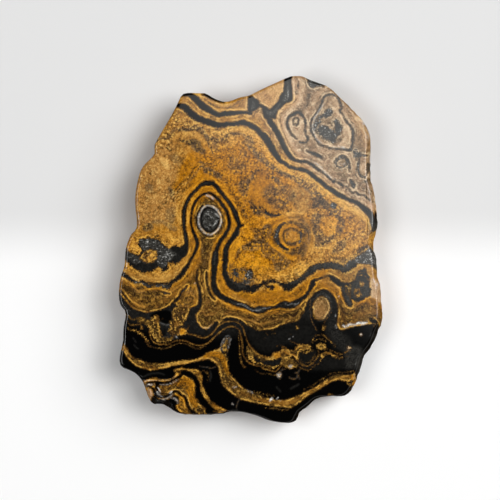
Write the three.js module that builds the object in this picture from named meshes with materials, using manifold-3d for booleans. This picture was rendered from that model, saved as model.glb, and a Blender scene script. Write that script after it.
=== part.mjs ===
// A polished slab of banded stromatolite, the layered rock that mats of microbes build.
//
// The stone is one piece: a slice cut straight through a domed mass. Its upper face is ground flat and
// polished, its back is sawn flat, and the wall between them is the natural outside of the mass, fluted
// where hard and soft layers meet it, and chipped along its edges.
//
// Millimetres, +Z up. The slab lies on its sawn back at z = 0. +Y is its long way, +X its short way, and
// the origin is below the middle of its bounding box.

import * as THREE from "three";
import { ImprovedNoise } from "three/addons/math/ImprovedNoise.js";
import { mergeVertices } from "three/addons/utils/BufferGeometryUtils.js";
import Module from "manifold-3d";

// ---- Driving dimensions ----

const SLAB_LENGTH = 120; // along Y, from the lowest lobe to the crest
const THICKNESS = 16; // from the sawn back to the polished face
const ARRIS_RADIUS = 0.8; // rounding where a flat face meets the wall
const LEAN = 1.5; // how far the wall swells out below the face, on the side the mass leaned to
const LEAN_DEGREES = -25; // the way it leaned, from +X towards +Y
const WIDEST_DEPTH = 0.34; // how far down that side is widest, as a share of the thickness
const UNDERCUT = 1.6; // how far the opposite wall draws in at the back
const TUCK = 0.7; // how far the whole wall draws in again near the sawn back
const FLUTE_DEPTH = 0.8; // depth of the natural flutes in the wall
const BREAK_DEPTH = 1.6; // how deep the uneven breaks in the lower wall are

// ---- Outline ----

// The outline is drawn on a tracing laid over the slab: x to the right and y down, in tracing units.
const TRACING_LENGTH = 348.7; // the slab's length on the tracing
const UNIT = SLAB_LENGTH / TRACING_LENGTH; // millimetres in one tracing unit

// The widest section, clockwise from the upper left tip. Each list is one side.
const TOP_EDGE = [
  [180.5, 96.6], [184, 93.4], [190, 92.7], [198, 93.1], [205, 93.1], [211, 96.2], [218, 100], [225, 101.8],
  [232, 100.3], [240, 97.2], [249, 95.4], [257, 91.4], [270, 85.2], [282, 79.9], [291, 76.2], [297, 75.8],
  [303, 76.3], [309, 79.4], [318, 82.6], [326, 85.5], [334, 90.3], [341, 96.6], [350, 105.2], [358.6, 114.4],
];
const RIGHT_EDGE = [
  [364.3, 119.8], [368.2, 126.5], [371.3, 136.5], [371.8, 146], [371.3, 158], [371.4, 170], [372.2, 181],
  [374.8, 191], [376.6, 203], [378, 215], [378.6, 224], [377.6, 232], [375, 239.5], [374, 245], [375.2, 251],
  [377.3, 258.5], [378, 268], [378.8, 277], [381, 285.5], [382.2, 297], [383, 309], [383, 320],
  [381.6, 326.5], [379, 331.5], [376, 339.5], [373.3, 345.5], [369, 351.3], [365.2, 356.8], [363.3, 362],
  [361, 370.5], [357.8, 379.5], [353.3, 389.3],
];
const LOWER_EDGE = [
  [349.5, 394.3], [344, 397.1], [334, 397.8], [323, 398.4], [317.3, 400.3], [310.5, 406], [301, 413.3],
  [298, 418.8], [295, 423.1], [290.5, 424.5], [281, 423.8], [270, 421.4], [260, 417.6], [250, 414.7],
  [240, 413.2], [230, 413.2], [219, 415.5], [208, 416.3], [195, 416.2], [183, 414.9], [175, 411.7],
  [168.5, 407.2], [163, 405.2], [155.5, 405.1],
];
const LEFT_EDGE = [
  [151.3, 402.8], [148.3, 397.2], [145.5, 389.5], [143.2, 383], [139.5, 377.6], [134.5, 372.8], [127, 369.5],
  [121.3, 366.7], [119.5, 362.5], [119.9, 355], [121.5, 347.5], [123, 340], [123.2, 331], [124.3, 322],
  [125.6, 316], [124.9, 311.3], [121.8, 307.6], [119.5, 302], [118.6, 294], [119.4, 284], [121.3, 274.5],
  [124.3, 266], [125, 257], [125.8, 248.5], [128.3, 240.3], [131.6, 233.6], [135.7, 229.8], [136.8, 225.5],
  [136.4, 217.5], [135.3, 208], [135, 199], [135.9, 189.5], [137.9, 179.5], [140.3, 171], [144.3, 164.6],
  [150.3, 158.8], [154.2, 154], [154.4, 149.5], [154.6, 144.5], [157.3, 139.3], [162.5, 130], [168.5, 120],
  [174.2, 109.8], [178.6, 100.8],
];

// ---- Chips and hollows ----

// Each is a scoop taken out of the stone: where it is on the tracing, how high its middle lies in
// millimetres, its half sizes along, across and down in millimetres, and its turn in degrees from +X.
const CHIPS = [
  // the broken lower left corner, where the polish stops at a step of rough stone
  { at: [145, 392], height: 16.6, size: [3.3, 1.9, 1.6], turn: -72 },
  { at: [151, 401], height: 16.2, size: [2.4, 1.8, 1.5], turn: -35 },
  { at: [150.5, 384], height: 16.4, size: [1.7, 0.8, 0.8], turn: 12 },
  { at: [161, 394.8], height: 16.3, size: [2.5, 0.85, 1.1], turn: -14 },
  { at: [166.5, 403.5], height: 16.3, size: [2.2, 1.1, 1.1], turn: -28 },
  // bites out of the right edge
  { at: [379.5, 279], height: 15.9, size: [2.6, 1.3, 1.8], turn: -66 },
  { at: [377, 243.5], height: 15.6, size: [2.8, 1.1, 2.4], turn: 88 },
  { at: [369.5, 131], height: 15.4, size: [4.2, 1.4, 1.7], turn: -66 },
  // nicks along the lower edge and the left side
  { at: [262, 419.5], height: 15.7, size: [5.2, 1.0, 1.5], turn: -20 },
  { at: [320, 401], height: 16.2, size: [1.6, 0.8, 0.9], turn: 18 },
  { at: [122, 309.5], height: 15.8, size: [1.6, 0.8, 1.6], turn: -50 },
  // spalls off the sawn back's edge
  { at: [122, 288], height: 0.4, size: [5.5, 1.9, 2.2], turn: 84 },
  { at: [379, 312], height: 0.2, size: [6.0, 1.8, 2.6], turn: 90 },
  { at: [196, 415], height: 0.3, size: [6.0, 1.8, 2.4], turn: 0 },
  { at: [330, 92], height: 0.3, size: [5.2, 2.2, 2.1], turn: -38 },
  { at: [160, 137], height: 0.5, size: [4.4, 1.6, 2.0], turn: 60 },
];

// ---- How finely the solid is faceted ----

const OUTLINE_FACETS = 248;
const WALL_STEPS = 6;
const ARRIS_STEPS = 2;
const CHIP_DETAIL = 2; // subdivisions of the icosahedron behind each chip

// Where the tracing's point lies across the slab, before it is centred.
const onSlab = ([x, y]) => new THREE.Vector3(x * UNIT, -y * UNIT, 0);

// The extruded slice, still with a straight wall.
function sawnSlice() {
  const traced = [...TOP_EDGE, ...RIGHT_EDGE, ...LOWER_EDGE, ...LEFT_EDGE].map(onSlab);
  const curve = new THREE.CatmullRomCurve3(traced, true, "centripetal");
  const spaced = curve.getSpacedPoints(OUTLINE_FACETS).slice(0, -1);
  const section = new THREE.Shape(spaced.map((p) => new THREE.Vector2(p.x, p.y)));
  const slice = new THREE.ExtrudeGeometry(section, {
    depth: THICKNESS - 2 * ARRIS_RADIUS,
    steps: WALL_STEPS,
    bevelThickness: ARRIS_RADIUS,
    bevelSize: ARRIS_RADIUS,
    bevelOffset: -ARRIS_RADIUS,
    bevelSegments: ARRIS_STEPS,
  });
  return slice.translate(0, 0, ARRIS_RADIUS);
}

// How far a point of the wall lies outside the traced section, on a wall that faces (nx, ny).
function wallOffset(point, nx, ny) {
  const { smoothstep, degToRad } = THREE.MathUtils;
  const depth = (THICKNESS - point.z) / THICKNESS; // 0 at the polished face, 1 at the sawn back
  const facing = nx * Math.cos(degToRad(LEAN_DEGREES)) + ny * Math.sin(degToRad(LEAN_DEGREES));
  const widest = WIDEST_DEPTH * Math.max(0, facing); // where the wall reaches the traced section
  const lean = LEAN * Math.max(0, facing) * (smoothstep(depth, 0, WIDEST_DEPTH) - 1);
  const undercut = -UNDERCUT * Math.max(0, -facing) * smoothstep(depth, 0.1, 1);
  const tuck = -TUCK * smoothstep(depth, 0.7, 1);
  const flutes = -FLUTE_DEPTH * fluting(point) * smoothstep(depth, widest + 0.02, widest + 0.25);
  const breaks = -BREAK_DEPTH * breakage(point) * smoothstep(depth, widest + 0.1, widest + 0.45);
  return lean + undercut + tuck + flutes + breaks;
}

// Flutes run down the wall, because the layers cross the slab from face to back. 0 is the uncut surface.
const noise = new ImprovedNoise();
function fluting({ x, y, z }) {
  const broad = noise.noise(x / 6.5, y / 6.5, z / 20);
  const fine = noise.noise(x / 2.8 + 40, y / 2.8, z / 8);
  return THREE.MathUtils.clamp(0.4 + 1.1 * broad + 0.5 * fine, 0, 1.6);
}

// Blocky hollows that the wall broke back to, with flat floors and ledges between them.
function breakage({ x, y, z }) {
  const blocks = noise.noise(x / 9 + 7, y / 9, z / 6 + 3);
  const edges = noise.noise(x / 3.6, y / 3.6 + 11, z / 4.5);
  return THREE.MathUtils.smoothstep(blocks + 0.25 * edges, -0.14, 0.26);
}

// The wall as nature left it. The two flat faces stay flat, and only their outlines move.
function weathered(slice) {
  slice.deleteAttribute("normal");
  slice.deleteAttribute("uv");
  const stone = mergeVertices(slice, 1e-3);
  stone.computeVertexNormals();
  const { position, normal } = stone.attributes;
  for (let i = 0; i < position.count; i++) {
    const point = new THREE.Vector3().fromBufferAttribute(position, i);
    const across = new THREE.Vector2(normal.getX(i), normal.getY(i)).normalize();
    const offset = wallOffset(point, across.x, across.y);
    position.setXY(i, point.x + across.x * offset, point.y + across.y * offset);
  }
  stone.deleteAttribute("normal");
  return stone;
}

// ---- Cutting, with manifold-3d ----

const wasm = await Module();
wasm.setup();

function solidOf(geometry) {
  const vertProperties = new Float32Array(geometry.attributes.position.array);
  const triVerts = new Uint32Array(geometry.index.array);
  return new wasm.Manifold(new wasm.Mesh({ numProp: 3, vertProperties, triVerts }));
}

function geometryOf(solid) {
  const { vertProperties, triVerts } = solid.getMesh();
  return new THREE.BufferGeometry()
    .setAttribute("position", new THREE.BufferAttribute(vertProperties, 3))
    .setIndex(new THREE.BufferAttribute(triVerts, 1));
}

function chipCutter({ at, height, size, turn }) {
  const scoop = new THREE.IcosahedronGeometry(1, CHIP_DETAIL);
  scoop.deleteAttribute("normal");
  scoop.deleteAttribute("uv");
  const cutter = mergeVertices(scoop, 1e-4);
  const { x, y } = onSlab(at);
  cutter.scale(...size).rotateZ(THREE.MathUtils.degToRad(turn)).translate(x, y, height);
  return solidOf(cutter);
}

function stromatoliteSlab() {
  const whole = solidOf(weathered(sawnSlice()));
  const chipped = CHIPS.map(chipCutter).reduce((stone, cutter) => stone.subtract(cutter), whole);
  const geometry = geometryOf(chipped);
  geometry.computeBoundingBox();
  const middle = geometry.boundingBox.getCenter(new THREE.Vector3());
  geometry.translate(-middle.x, -middle.y, 0);
  geometry.computeVertexNormals();
  const stone = new THREE.MeshStandardMaterial({ color: 0xa06c26, roughness: 0.22, metalness: 0 });
  const slab = new THREE.Mesh(geometry, stone);
  slab.name = "stromatolite_slab";
  return slab;
}

const part = new THREE.Group();
part.add(stromatoliteSlab());

export default part;
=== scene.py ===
"""A polished slab of banded stromatolite, ochre and black, lying on its sawn back."""

import math

import bmesh
import bpy
import numpy as np
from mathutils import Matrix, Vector, noise


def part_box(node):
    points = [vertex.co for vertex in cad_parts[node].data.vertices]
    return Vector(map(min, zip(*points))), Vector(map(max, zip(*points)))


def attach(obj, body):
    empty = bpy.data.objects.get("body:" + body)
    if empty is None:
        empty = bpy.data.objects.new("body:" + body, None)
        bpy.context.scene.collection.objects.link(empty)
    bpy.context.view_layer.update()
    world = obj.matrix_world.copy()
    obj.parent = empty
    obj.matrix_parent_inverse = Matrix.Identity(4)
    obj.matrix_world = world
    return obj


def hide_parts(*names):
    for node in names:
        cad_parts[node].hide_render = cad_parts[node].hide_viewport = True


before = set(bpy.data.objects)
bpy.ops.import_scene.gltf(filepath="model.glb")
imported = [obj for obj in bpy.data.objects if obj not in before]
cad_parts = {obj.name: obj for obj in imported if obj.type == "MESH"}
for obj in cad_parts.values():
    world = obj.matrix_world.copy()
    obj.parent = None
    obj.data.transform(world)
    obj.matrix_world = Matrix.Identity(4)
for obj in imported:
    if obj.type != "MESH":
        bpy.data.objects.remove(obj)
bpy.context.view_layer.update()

bl_info = {
    "name": "Banded stromatolite slab",
    "version": (1, 0, 0),
    "blender": (4, 5, 0),
    "location": "3D View > Sidebar > Stromatolite",
    "description": "Builds a polished slab of banded stromatolite and the table it lies on",
    "category": "Add Mesh",
}

SLAB_NODE = "stromatolite_slab"
MM = 0.001
SLAB_LENGTH = 120 * MM
SLAB_LOW, SLAB_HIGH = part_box(SLAB_NODE)
FACE_Z = SLAB_HIGH.z
THICKNESS = SLAB_HIGH.z - SLAB_LOW.z

# The banding is drawn on a sheet whose x runs right and y runs down the slab. These place the sheet.
SHEET_LENGTH = 348.7
SHEET_UNIT = SLAB_LENGTH / SHEET_LENGTH
SHEET_CENTRE = (250.93785, 249.826)
VIEW_CENTRE = (250.0, 250.0)
VIEW_WIDTH = 500.0
STEP_UNIT = 0.5
WIDTH_UNIT = 0.1

# What strokes lay down: a tone of the stone each, or black mineral (ink) or its absence (bare). A few cream
# strokes paint highlights, and one ink stroke paints the shade of the unlit wall at the right rim.
TONES = ("lamina", "ash", "cream", "hue", "grain")
EDGES = {"ink": 1, "bare": -1}
STROKES = []


def vein(fray, *routes, **tones):
    """Draws lines of some tones: first a place "x y width", then steps. A width holds until the next."""
    for route in routes:
        STROKES.append((tones, fray, False, route))


def patch(fray, *routes, **tones):
    """Draws closed shapes filled with some tones: each from a first place "x y" by steps "x y"."""
    for route in routes:
        STROKES.append((tones, fray, True, route))


# The broad grounds: how granular the ochre is, and how golden or pinkish.
patch(3, "300 230,100 6,110 34,70 50,80 70,84 80,0 54,-74 0,-70 46,-60 14,-50 -14,-26 -46,12 -54,-12 -70,"
      "-34 -44,-40 -4,-34 48,-12 70,-74 10,-20 -50,20 -90", "244 500,26 -44,80 8,6 56,-36 30,-64 -10",
      grain=1)
patch(3, "500 176,100 -20,130 64,26 180,-12 50,-84 -80,-70 -70,-66 -60", grain=.3)
patch(14, "380 300,50 -10,70 -10,60 50,100 70,70 70,-10 40,-120 26,-100 34,-60 30,-60 -60,-10 -140", hue=1)
patch(12, "264 320,66 -40,30 50,-4 70,-16 50,-60 10,-24 -60", hue=-.15)
patch(6, "500 180,68 -28,32 0,-12 48,-24 24,16 56,40 40,70 50,58 50,-16 8,-72 -48,-68 -50,-52 -54,-16 -36,"
      "-34 -16", hue=-.35)
patch(5, "572 160,48 -12,76 38,44 50,12 84,8 94,-36 -2,-44 -32,-44 -32,-36 -32,-24 -30,-14 -36,0 -26,18 -12,"
      "10 -16", hue=-1)
patch(5, "596 160,28 -8,72 38,40 46,12 84,8 80,-36 0,-40 -28,-44 -32,-28 -28,-24 -26,-12 -36,4 -26,24 -24",
      ash=.48)
patch(2, "500 184,68 -28,6 12,-8 24,-12 16,-14 10,-12 -8,-12 -10", lamina=.3)
patch(5, "248 500,16 -40,86 -8,14 20,0 52,-44 26,-68 -10", hue=.45)
patch(12, "180 604,140 20,100 -24,60 10,140 -50,200 40,0 300,-640 0", lamina=-.25)
patch(2, "400 410,18 -12,14 8,12 18,6 20,-6 20,-16 16,0 30,-8 40,-24 -10,6 -40,-2 -28,-10 -16,-2 -26",
      lamina=-.2)
patch(12, "180 592,70 8,90 -8,50 -32,34 8,28 34,58 16,60 -8,36 -26,34 -16,50 24,60 8,70 0,0 300,-640 0",
      hue=1.7)
patch(2, "400 410,18 -12,14 8,12 18,6 20,-6 20,-16 16,-4 30,-6 40,6 30,-24 -10,2 -70,-2 -28,-10 -16,-2 -26",
      hue=1.7)
patch(5, "240 564,40 8,70 -4,50 -44,4 26,-12 30,-32 30,-120 0", hue=1.5)
patch(2, "682 618,22 14,28 -14,30 -2,0 36,-72 -8", lamina=-.3)
patch(8, "236 472,144 -4,100 -18,24 74,96 0,164 -8,4 108,-88 4,-180 36,-120 4,-144 -44", ash=.2)
# The bands at the top.
# Band one: from the upper left tip to the black star.
vein(.5, "363 191 16,5 -2 36,12 1 42,10 7 60,8 8 62,10 9 64,12 7 54,10 6 46,8 3 40,8 -2 46,10 -1,12 -1 36,"
     "12 -1 32,12 0 24,10 1", ink=1)
vein(.7, "418 216 8,10 5,8 3,6 2", ash=.7)
# The black rim above it.
vein(.3, "405 188 16,9 3 30,10 5 28,12 6 20,13 2 12", ink=1)
# Band two: along the top and down the right of the dome.
vein(.6, "354 210 42,8 2 48,8 3 60,8 7,6 6 64,8 6 60,8 4,8 3 54,12 4 60,12 4 50,10 1 42,12 -2 40,12 0 36,"
     "10 -2 38,10 -1 48,10 3 40,8 4 46,9 6 44,8 8 48,8 7 58,7 9 62,6 11 56,6 10 50,6 9,6 9 40,8 5 28,8 6,"
     "10 4 26,14 3,12 3 28", ink=1)
# The black star and its slate middle.
patch(.4, "497 192,5 -2,5 5,5 4,5 3,1 5,6 3,7 3,5 4,4 2,5 -5,6 -6,6 -6,2 -7,3 -6,5 -7,1 -8,1 -14,5 -6,10 -3,"
      "-1 9,0 10,1 10,1 10,0 8,-4 5,-9 3,-6 5,-5 5,-5 4,-2 4,-2 8,-1 6,-7 -2,-6 0,-4 3,-4 -3,-3 -6,-2 -10,"
      "-1 -5,-6 -1,-4 4,-6 3,-7 3,-3 2,-2 -10,0 -12", ink=1)
vein(1, "575 164 16,1 10 24,-1 12 40,-3 10 50,-4 4 30", ash=.8)
vein(1, "532 222 10,8 5 40,8 -3 30,12 -16 16", ash=.75)
vein(1, "506 202 10,1 10 36,-4 6 20", ash=.6)
# Band one again: from the star down the right of band two.
vein(.5, "537 237 30,4 7 54,7 10 50,6 11 48,6 10 46,5 11,5 11,6 10 44,6 8 38,7 5 24,9 2 22,10 1 24,8 2,7 4,"
     "7 5 26,8 6", ink=1)
# Laminae of the tan stripes at the top.
vein(.5, "402 188 10,6 8,9 8,9 6,12 5,14 1,12 -3,8 -5,7 -7", lamina=-.8)
vein(.5, "393 188 12,7 9,8 7,10 7,10 6,12 3,20 0,20 -2,6 -1", lamina=.7)
vein(.6, "409 192 18,7 7,10 6,12 4,14 1,12 -3,10 -6", lamina=.35)
vein(.8, "482 197 20,-1 7,-2 7", lamina=-.5)
vein(.5, "376 196 10,8 7,8 7,10 8,10 6,10 5,11 6", lamina=.5)
vein(.4, "377 200 8,7 6,8 8,9 7,10 6,11 5,10 5", lamina=-.8)
# The olive margin under band two.
vein(1.2, "366 221 10,10 9 20,8 8,12 6 16,16 6,20 5 14,20 -1,28 -2", "492 252 22,12 7,12 9,10 12,10 14,"
     "11 16,9 12", lamina=-.9)
# The big nodule and its neighbours.
# The slate wedge to the right of the crest.
patch(.5, "610 152,6 6,8 4,12 4,12 3,0 -5,-24 -12", ink=1)
patch(.8, "616 158,12 4,16 7,-10 2,-8 2,-6 -4", ash=.8)
vein(1.5, "612 158 30,4 12 40,2 14 44,-1 14,-5 12 40,-8 10 36", lamina=-.45)
vein(1.2, "652 176 30,-12 8 40,-9 12,-6 12,-8 12 36,-7 8 30", lamina=.45)
vein(1.2, "604 158 40,2 14 44,-2 16,-6 14,-10 10 40,-10 8 30", lamina=.4)
vein(.6, "594 155 14,3 11,-1 12,-4 12", lamina=-.8)
vein(.5, "636 186 8,-10 12,-6 12", lamina=-.45)
# Outline of the big nodule.
vein(.7, "660 189 16,-7 2,-5 4,-3 7,-3 8,-4 8,-4 8,-6 8,-5 7 14,-1 9 16,0 10,3 8,5 8,5 7,5 6 14,6 3 12,6 1,"
     "6 3 14,8 1 16,10 1 14,10 0 16,10 2 20,6 -1 24,2 -7 16,1 -10 20,1 -12,-1 -10,-4 -7 16,-6 -8,-6 -9 12,"
     "-5 -8 10,-4 -4 14,0 -3 12,3 -4 14,-1 -6 16,-2 -7 18,-3 -7,-4 -5 16,-6 -3,-7 0", ink=1)
vein(.6, "648 202 13,-4 12,-6 9,-7 10,-5 9,-1 10,1 10,4 8,6 8", ash=.55)
vein(.6, "647 203 10,-4 11,-6 10,-7 10,-4 8,-1 10,1 10,5 8,6 8", lamina=.8)
# Slate inside it.
patch(1.2, "636 253,8 -2,10 2,8 6,7 1,1 -8,-3 -10,5 -4,6 6,4 8,2 8,-3 7,-6 4,-3 6,-3 8,-6 0,-7 -5,-9 -4,"
      "-7 -7,-4 -7", "650 223,6 -5,6 1,3 4,-3 7,-7 4,-9 1,-8 4,-6 4,-3 5,1 -7,8 -9,7 -3", ink=1)
patch(1.4, "628 244,7 -3,6 2,-4 6,-4 8,1 9,-5 -6,-2 -8", ink=1)
patch(1, "627 242,9 -7,14 -16,14 -4,4 9,-6 12,14 0,10 16,0 10,-10 12,-6 14,-10 -2,-16 -8,-12 -10,-6 -12",
      ash=1)
vein(.9, "638 253 14,7 -4,8 -4,7 -3,6 -4,-3 -6,5 -8", bare=1)
vein(.6, "656 255 9,7 5,6 5,5 6", lamina=.2)
vein(1.5, "668 198 40,6 12 36,-1 12 30,9 10 36,9 10,6 14 30,3 14,-3 14 40,-7 7 36", lamina=.45)
vein(.6, "641 283 14,7 4,9 4,9 3,10 0,12 1,6 -2", lamina=.9)
patch(1.2, "682 262,7 1,4 5,-2 5,-6 0", ash=.65)
vein(.6, "686 275 10,6 4,3 -4", lamina=-.8)
patch(1.4, "674 278,6 -3,5 5,-1 9,-10 2,-6 -2", lamina=-.45)
vein(.7, "656 248 12,6 -3,6 -2", lamina=-.55)
vein(.7, "650 208 16,6 5,6 3", lamina=-.45)
# The nodule between band one and the big nodule.
vein(.5, "607 234 16,-4 -5 26,-5 -4 28,-7 1,-7 4,-5 3 22,-3 5 16,-2 7 18,1 7 20,3 7,3 7 16,6 6 12,6 6 8",
     ink=1)
vein(.7, "607 234 16,3 6,1 10,-1 10,2 8,3 6,1 6,-4 5,-7 0,-5 -1", ink=1)
patch(1, "580 238,6 -5,10 -1,8 5,3 7,-1 12,2 12,3 8,-5 6,-8 -1,-10 -9,-6 -9,-3 -11,-1 -9",
      lamina=.35, ash=.45)
vein(.6, "586 242 11,2 -5,5 -1,4 3,-1 7,-3 4,-5 -2,-2 -6", ink=1)
patch(.7, "588 239,7 0,1 7,-4 4,-4 -4", ash=.9)
vein(.6, "589 255 10,5 3,4 5", lamina=-.8)
# Pale and brown laminae that run down between band one and the nodule.
vein(.5, "587 156 13,1 12,-1 12,1 12,-2 9,-7 6,-9 6,-7 7,-5 8,-1 10,2 12,4 14,7 15,7 15,6 13,7 8,10 2,12 1",
     lamina=.8)
vein(.5, "563 225 9,-3 9,1 12,4 14,7 16,7 16,9 14,10 7", lamina=-.6)
vein(.6, "574 224 9,-5 10,0 14,4 14,8 16,8 16,9 10", lamina=.5)
vein(.6, "577 222 8,-5 7,-1 11,1 14", lamina=-.4)
patch(1.5, "594 288,10 1,10 -1,1 10,-11 3,-9 -5", ash=.35)
# Right of the big nodule.
vein(2, "690 208 70,8 16,10 20 60,6 20,3 20,1 16 50", ash=.3, lamina=-.25)
vein(1.2, "700 220 20,12 16 30,8 14,6 16 20,5 16,2 16", lamina=.55)
patch(1.6, "707 303,6 -3,2 5,7 2,-4 7,-7 1,-2 -5", ink=1)
vein(.6, "719 314 11,4 -4,6 1,6 0", ink=1)
patch(1, "704 300,12 -3,8 7,-4 10,-10 3,-5 -7", ash=.75)
vein(.7, "711 316 25,2 8,0 10,-1 10", lamina=-.75)
vein(.5, "719 315 10,-1 9,-2 10,1 10", ink=1)
vein(.8, "722 326 13,5 -4", lamina=-.7)
patch(.8, "733 327,4 2,2 13,-6 3,1 -9", ink=1)
# The small dark nodule.
vein(.6, "669 325 14,4 -6,6 -5,7 -2,7 4,4 8,2 10,0 9", ink=1)
patch(1.3, "671 326,4 -7,9 -4,9 4,3 7,-5 7,-9 2,-8 -3", ink=1)
vein(1, "666 328 17,6 8,10 4,10 -2", lamina=-.5)
# The black lens above band one.
vein(.5, "613 301 8,6 3 18,7 3 26,8 3,7 4 22,5 3 8", ink=1)
vein(.5, "602 311 10,10 3,9 5,9 3,9 2,5 5", lamina=-.7)
vein(.6, "606 308 15,12 4,12 5,10 4,8 8,7 10", lamina=.55)
# Left of the eye.
# The outer ring, left side.
vein(.5, "426 367 38,-12 -1 46,-8 2 38,-8 6 30,-8 8 28,-8 8 30,-6 10 32,-4 9,-3 9 34,-1 10 38,0 12 36,"
     "0 12 34,2 12,2 12 38,1 10,0 10 40,-4 10 50,-7 6", ink=1)
# The inner ring, left side.
vein(.4, "417 386 16,-9 2,-8 5 18,-6 6 20,-5 8,-4 10,-2 11 16,-1 12 20,1 12,3 10 26,4 10 30,4 10 32,1 8 28,"
     "-3 9 24,-4 9,-5 10 22,-5 8,-7 9,-7 8 20", ink=1)
# The brown line between the inner ring and the eye.
vein(.5, "412 395 10,-9 4,-7 9,-4 12,-2 14,2 14,3 12,7 10,8 8,7 3", lamina=-.8)
# The eye: dark core, pale ring, thin black ring.
vein(.4, "426 472 8,-8 1,-9 -3 10,-8 -8 12,-5 -10 14,-2 -12 16,2 -12 12,4 -9 10,6 -8 8", ink=1)
vein(.5, "412 391 12,4 0,6 3,6 4", cream=1)
# The black patch at the left.
patch(1.2, "278 481,6 -2,8 0,6 -1,6 2,6 0,7 -2,4 4,4 5,5 5,6 4,6 0,6 -4,6 0,4 3,6 -2,4 -5,7 4,0 12,-4 7,"
      "-6 4,-9 3,-9 3,-5 5,-7 -2,-9 -1,-8 2,-6 -7,2 -10,3 -7,-6 -4,-9 0,-7 5,-2 8,-6 3,-4 -7,4 -6,-4 -7,"
      "-4 -5", ink=1)
patch(1, "278 482,12 -3,10 2,5 6,-7 5,-10 -3,-6 3", ash=.85)
vein(.6, "291 483 8,5 1 14", cream=.5)
vein(.7, "307 477 11,4 -3,6 -2", "290 478 9,5 -4,5 1", ink=1)
vein(1.5, "314 486 30,6 6,4 10,-3 12", ash=.8)
vein(1.5, "332 504 30,8 6,7 -4", ash=.7)
# The slate stripe at the left rim.
vein(.9, "248 492 20,4 9 30,6 8 40,8 6 44,8 4 40,8 2 30,10 2 16", ink=1)
vein(.8, "250 498 15,6 7,7 6,9 4,12 0", ash=.85)
# Brown patches of the upper left.
vein(1.5, "318 278 16,8 -3 24,8 2,7 -3,6 -7 22,6 -5 20,9 -2 22,10 1 20,8 -2 30,9 -2 40,8 2,7 6 30,8 6 26,"
     "8 6 30,8 5 34,10 2,9 -5,9 -6 30,9 -5 24,11 -1 20,12 3 16,10 4", lamina=-.6)
vein(1.5, "345 279 20,6 -8 30,10 -4 34,13 1,13 2,10 5 36,8 7,6 9 32,5 10 26", lamina=.35)
vein(.8, "407 273 14,6 8,6 9,5 9", lamina=-.65)
patch(1.6, "374 283,10 -4,10 1,7 5,2 8,4 7,-4 6,-8 -2,-7 -5,-7 -6,-5 -4", lamina=-.8)
patch(1.6, "376 284,10 -4,10 2,6 10,2 10,-10 2,-10 -10", ash=.5)
vein(.7, "355 283 13,9 -2,10 2", lamina=-.7)
vein(.5, "323 299 10,4 -4,7 -1,4 5,6 2", lamina=-.75)
vein(.5, "336 291 9,8 4,7 6", lamina=-.6)
vein(.5, "321 307 10,6 5,7 -1", "371 313 10,-2 5,6 3,6 -4", lamina=-.7)
vein(2, "342 312 30,10 5 34,10 6 30,4 5 20", lamina=-.5)
patch(1.5, "292 376,3 -6,8 -1,4 5,0 9,-7 3,-6 -4", ash=.35)
patch(.9, "339 377,4 0,4 5,-2 5,-4 -1,-3 -5", lamina=-.8)
patch(1.2, "286 459,4 -6,6 -4,6 -2,5 4,-2 6,-5 5,-8 0", ash=.55)
patch(2, "327 438,4 -9,7 -5,7 5,3 10,-1 13,-4 11,-7 -3,-7 -9", lamina=-.6)
vein(.8, "350 422 11,1 9,-1 10,-1 9,-3 11", lamina=-.75)
vein(1.2, "354 404 20,3 12 30,0 12 34,0 14,0 16 36,1 16,-1 12 34", lamina=.45)
vein(1.4, "262 470 20,12 -6 30,14 4,16 -1 36,10 -9,10 -1,7 9,8 10,9 8 34", lamina=.5)
vein(1.2, "266 480 30,2 12 40,4 9", lamina=.65)
vein(.5, "406 320 9,-7 12,-6 11,-10 10,-10 9,-8 9,-9 12,-7 12,-5 8", lamina=-.7)
vein(1.2, "392 362 23,-12 13,-11 13,-9 10,-8 8", lamina=-.45)
vein(.9, "404 361 20,-11 10,-9 9 18,-9 11 16,-7 11 14,-5 10", lamina=.5)
# The eye's right side, the golden middle and the ringed nodule.
vein(.4, "424 367 38,5 3 36,6 6 34,6 8 32,7 8 30,7 9 32,6 8 34,5 9 40,5 10 44,3 10 40,3 7 36,3 6 32,7 -1 8",
     ink=1)
vein(.5, "479 451 34,-4 8 36,-2 7 46,-6 8 44,-6 8 36,-5 8 42,-4 10 48,-1 10 50,0 10 58", ink=1)
vein(.8, "478 461 18,1 6,-3 6", ash=.9)
vein(.4, "417 386 16,7 2 20,7 6 24,7 6 26,5 7,6 8 28,5 9,3 10,2 10 30,-1 10,-4 9,-5 8,-6 8 32,-5 9 34,"
     "-4 10 38,-3 10 50,-1 12 66", ink=1)
vein(.7, "424 392 15,8 7,7 9,6 10,4 12", lamina=-.7)
vein(.5, "422 393 8,10 8,8 10,6 11,3 12,1 12", ash=.7, lamina=.3)
vein(.5, "414 395 9,10 3,9 8,7 11,4 12,2 13,-3 13,-6 10,-8 9", lamina=-.7)
patch(.3, "418 414,8 2,7 7,5 9,1 10,-3 10,-5 8,-8 5,-8 -1,-7 -5,-6 -8,-2 -11,1 -11,5 -9,6 -5", ink=1)
patch(1.6, "418 418,10 4,6 10,1 12,-6 12,-9 5,-9 -4,-6 -11,0 -14,5 -10", ash=.75)
vein(.8, "417 411 12,8 2,8 6,6 8,3 9,0 10,-4 9,-5 7,-7 5,-8 2,-8 -3,-6 -6,-5 -8,-2 -10,1 -10,4 -10,6 -8,9 -3",
     cream=.75)
vein(.7, "430 426 16,4 4,3 4", cream=.55)
vein(.6, "427 451 10,5 -5,3 -6", cream=.6)
vein(.6, "419 451 8,6 1", cream=.4)
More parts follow.
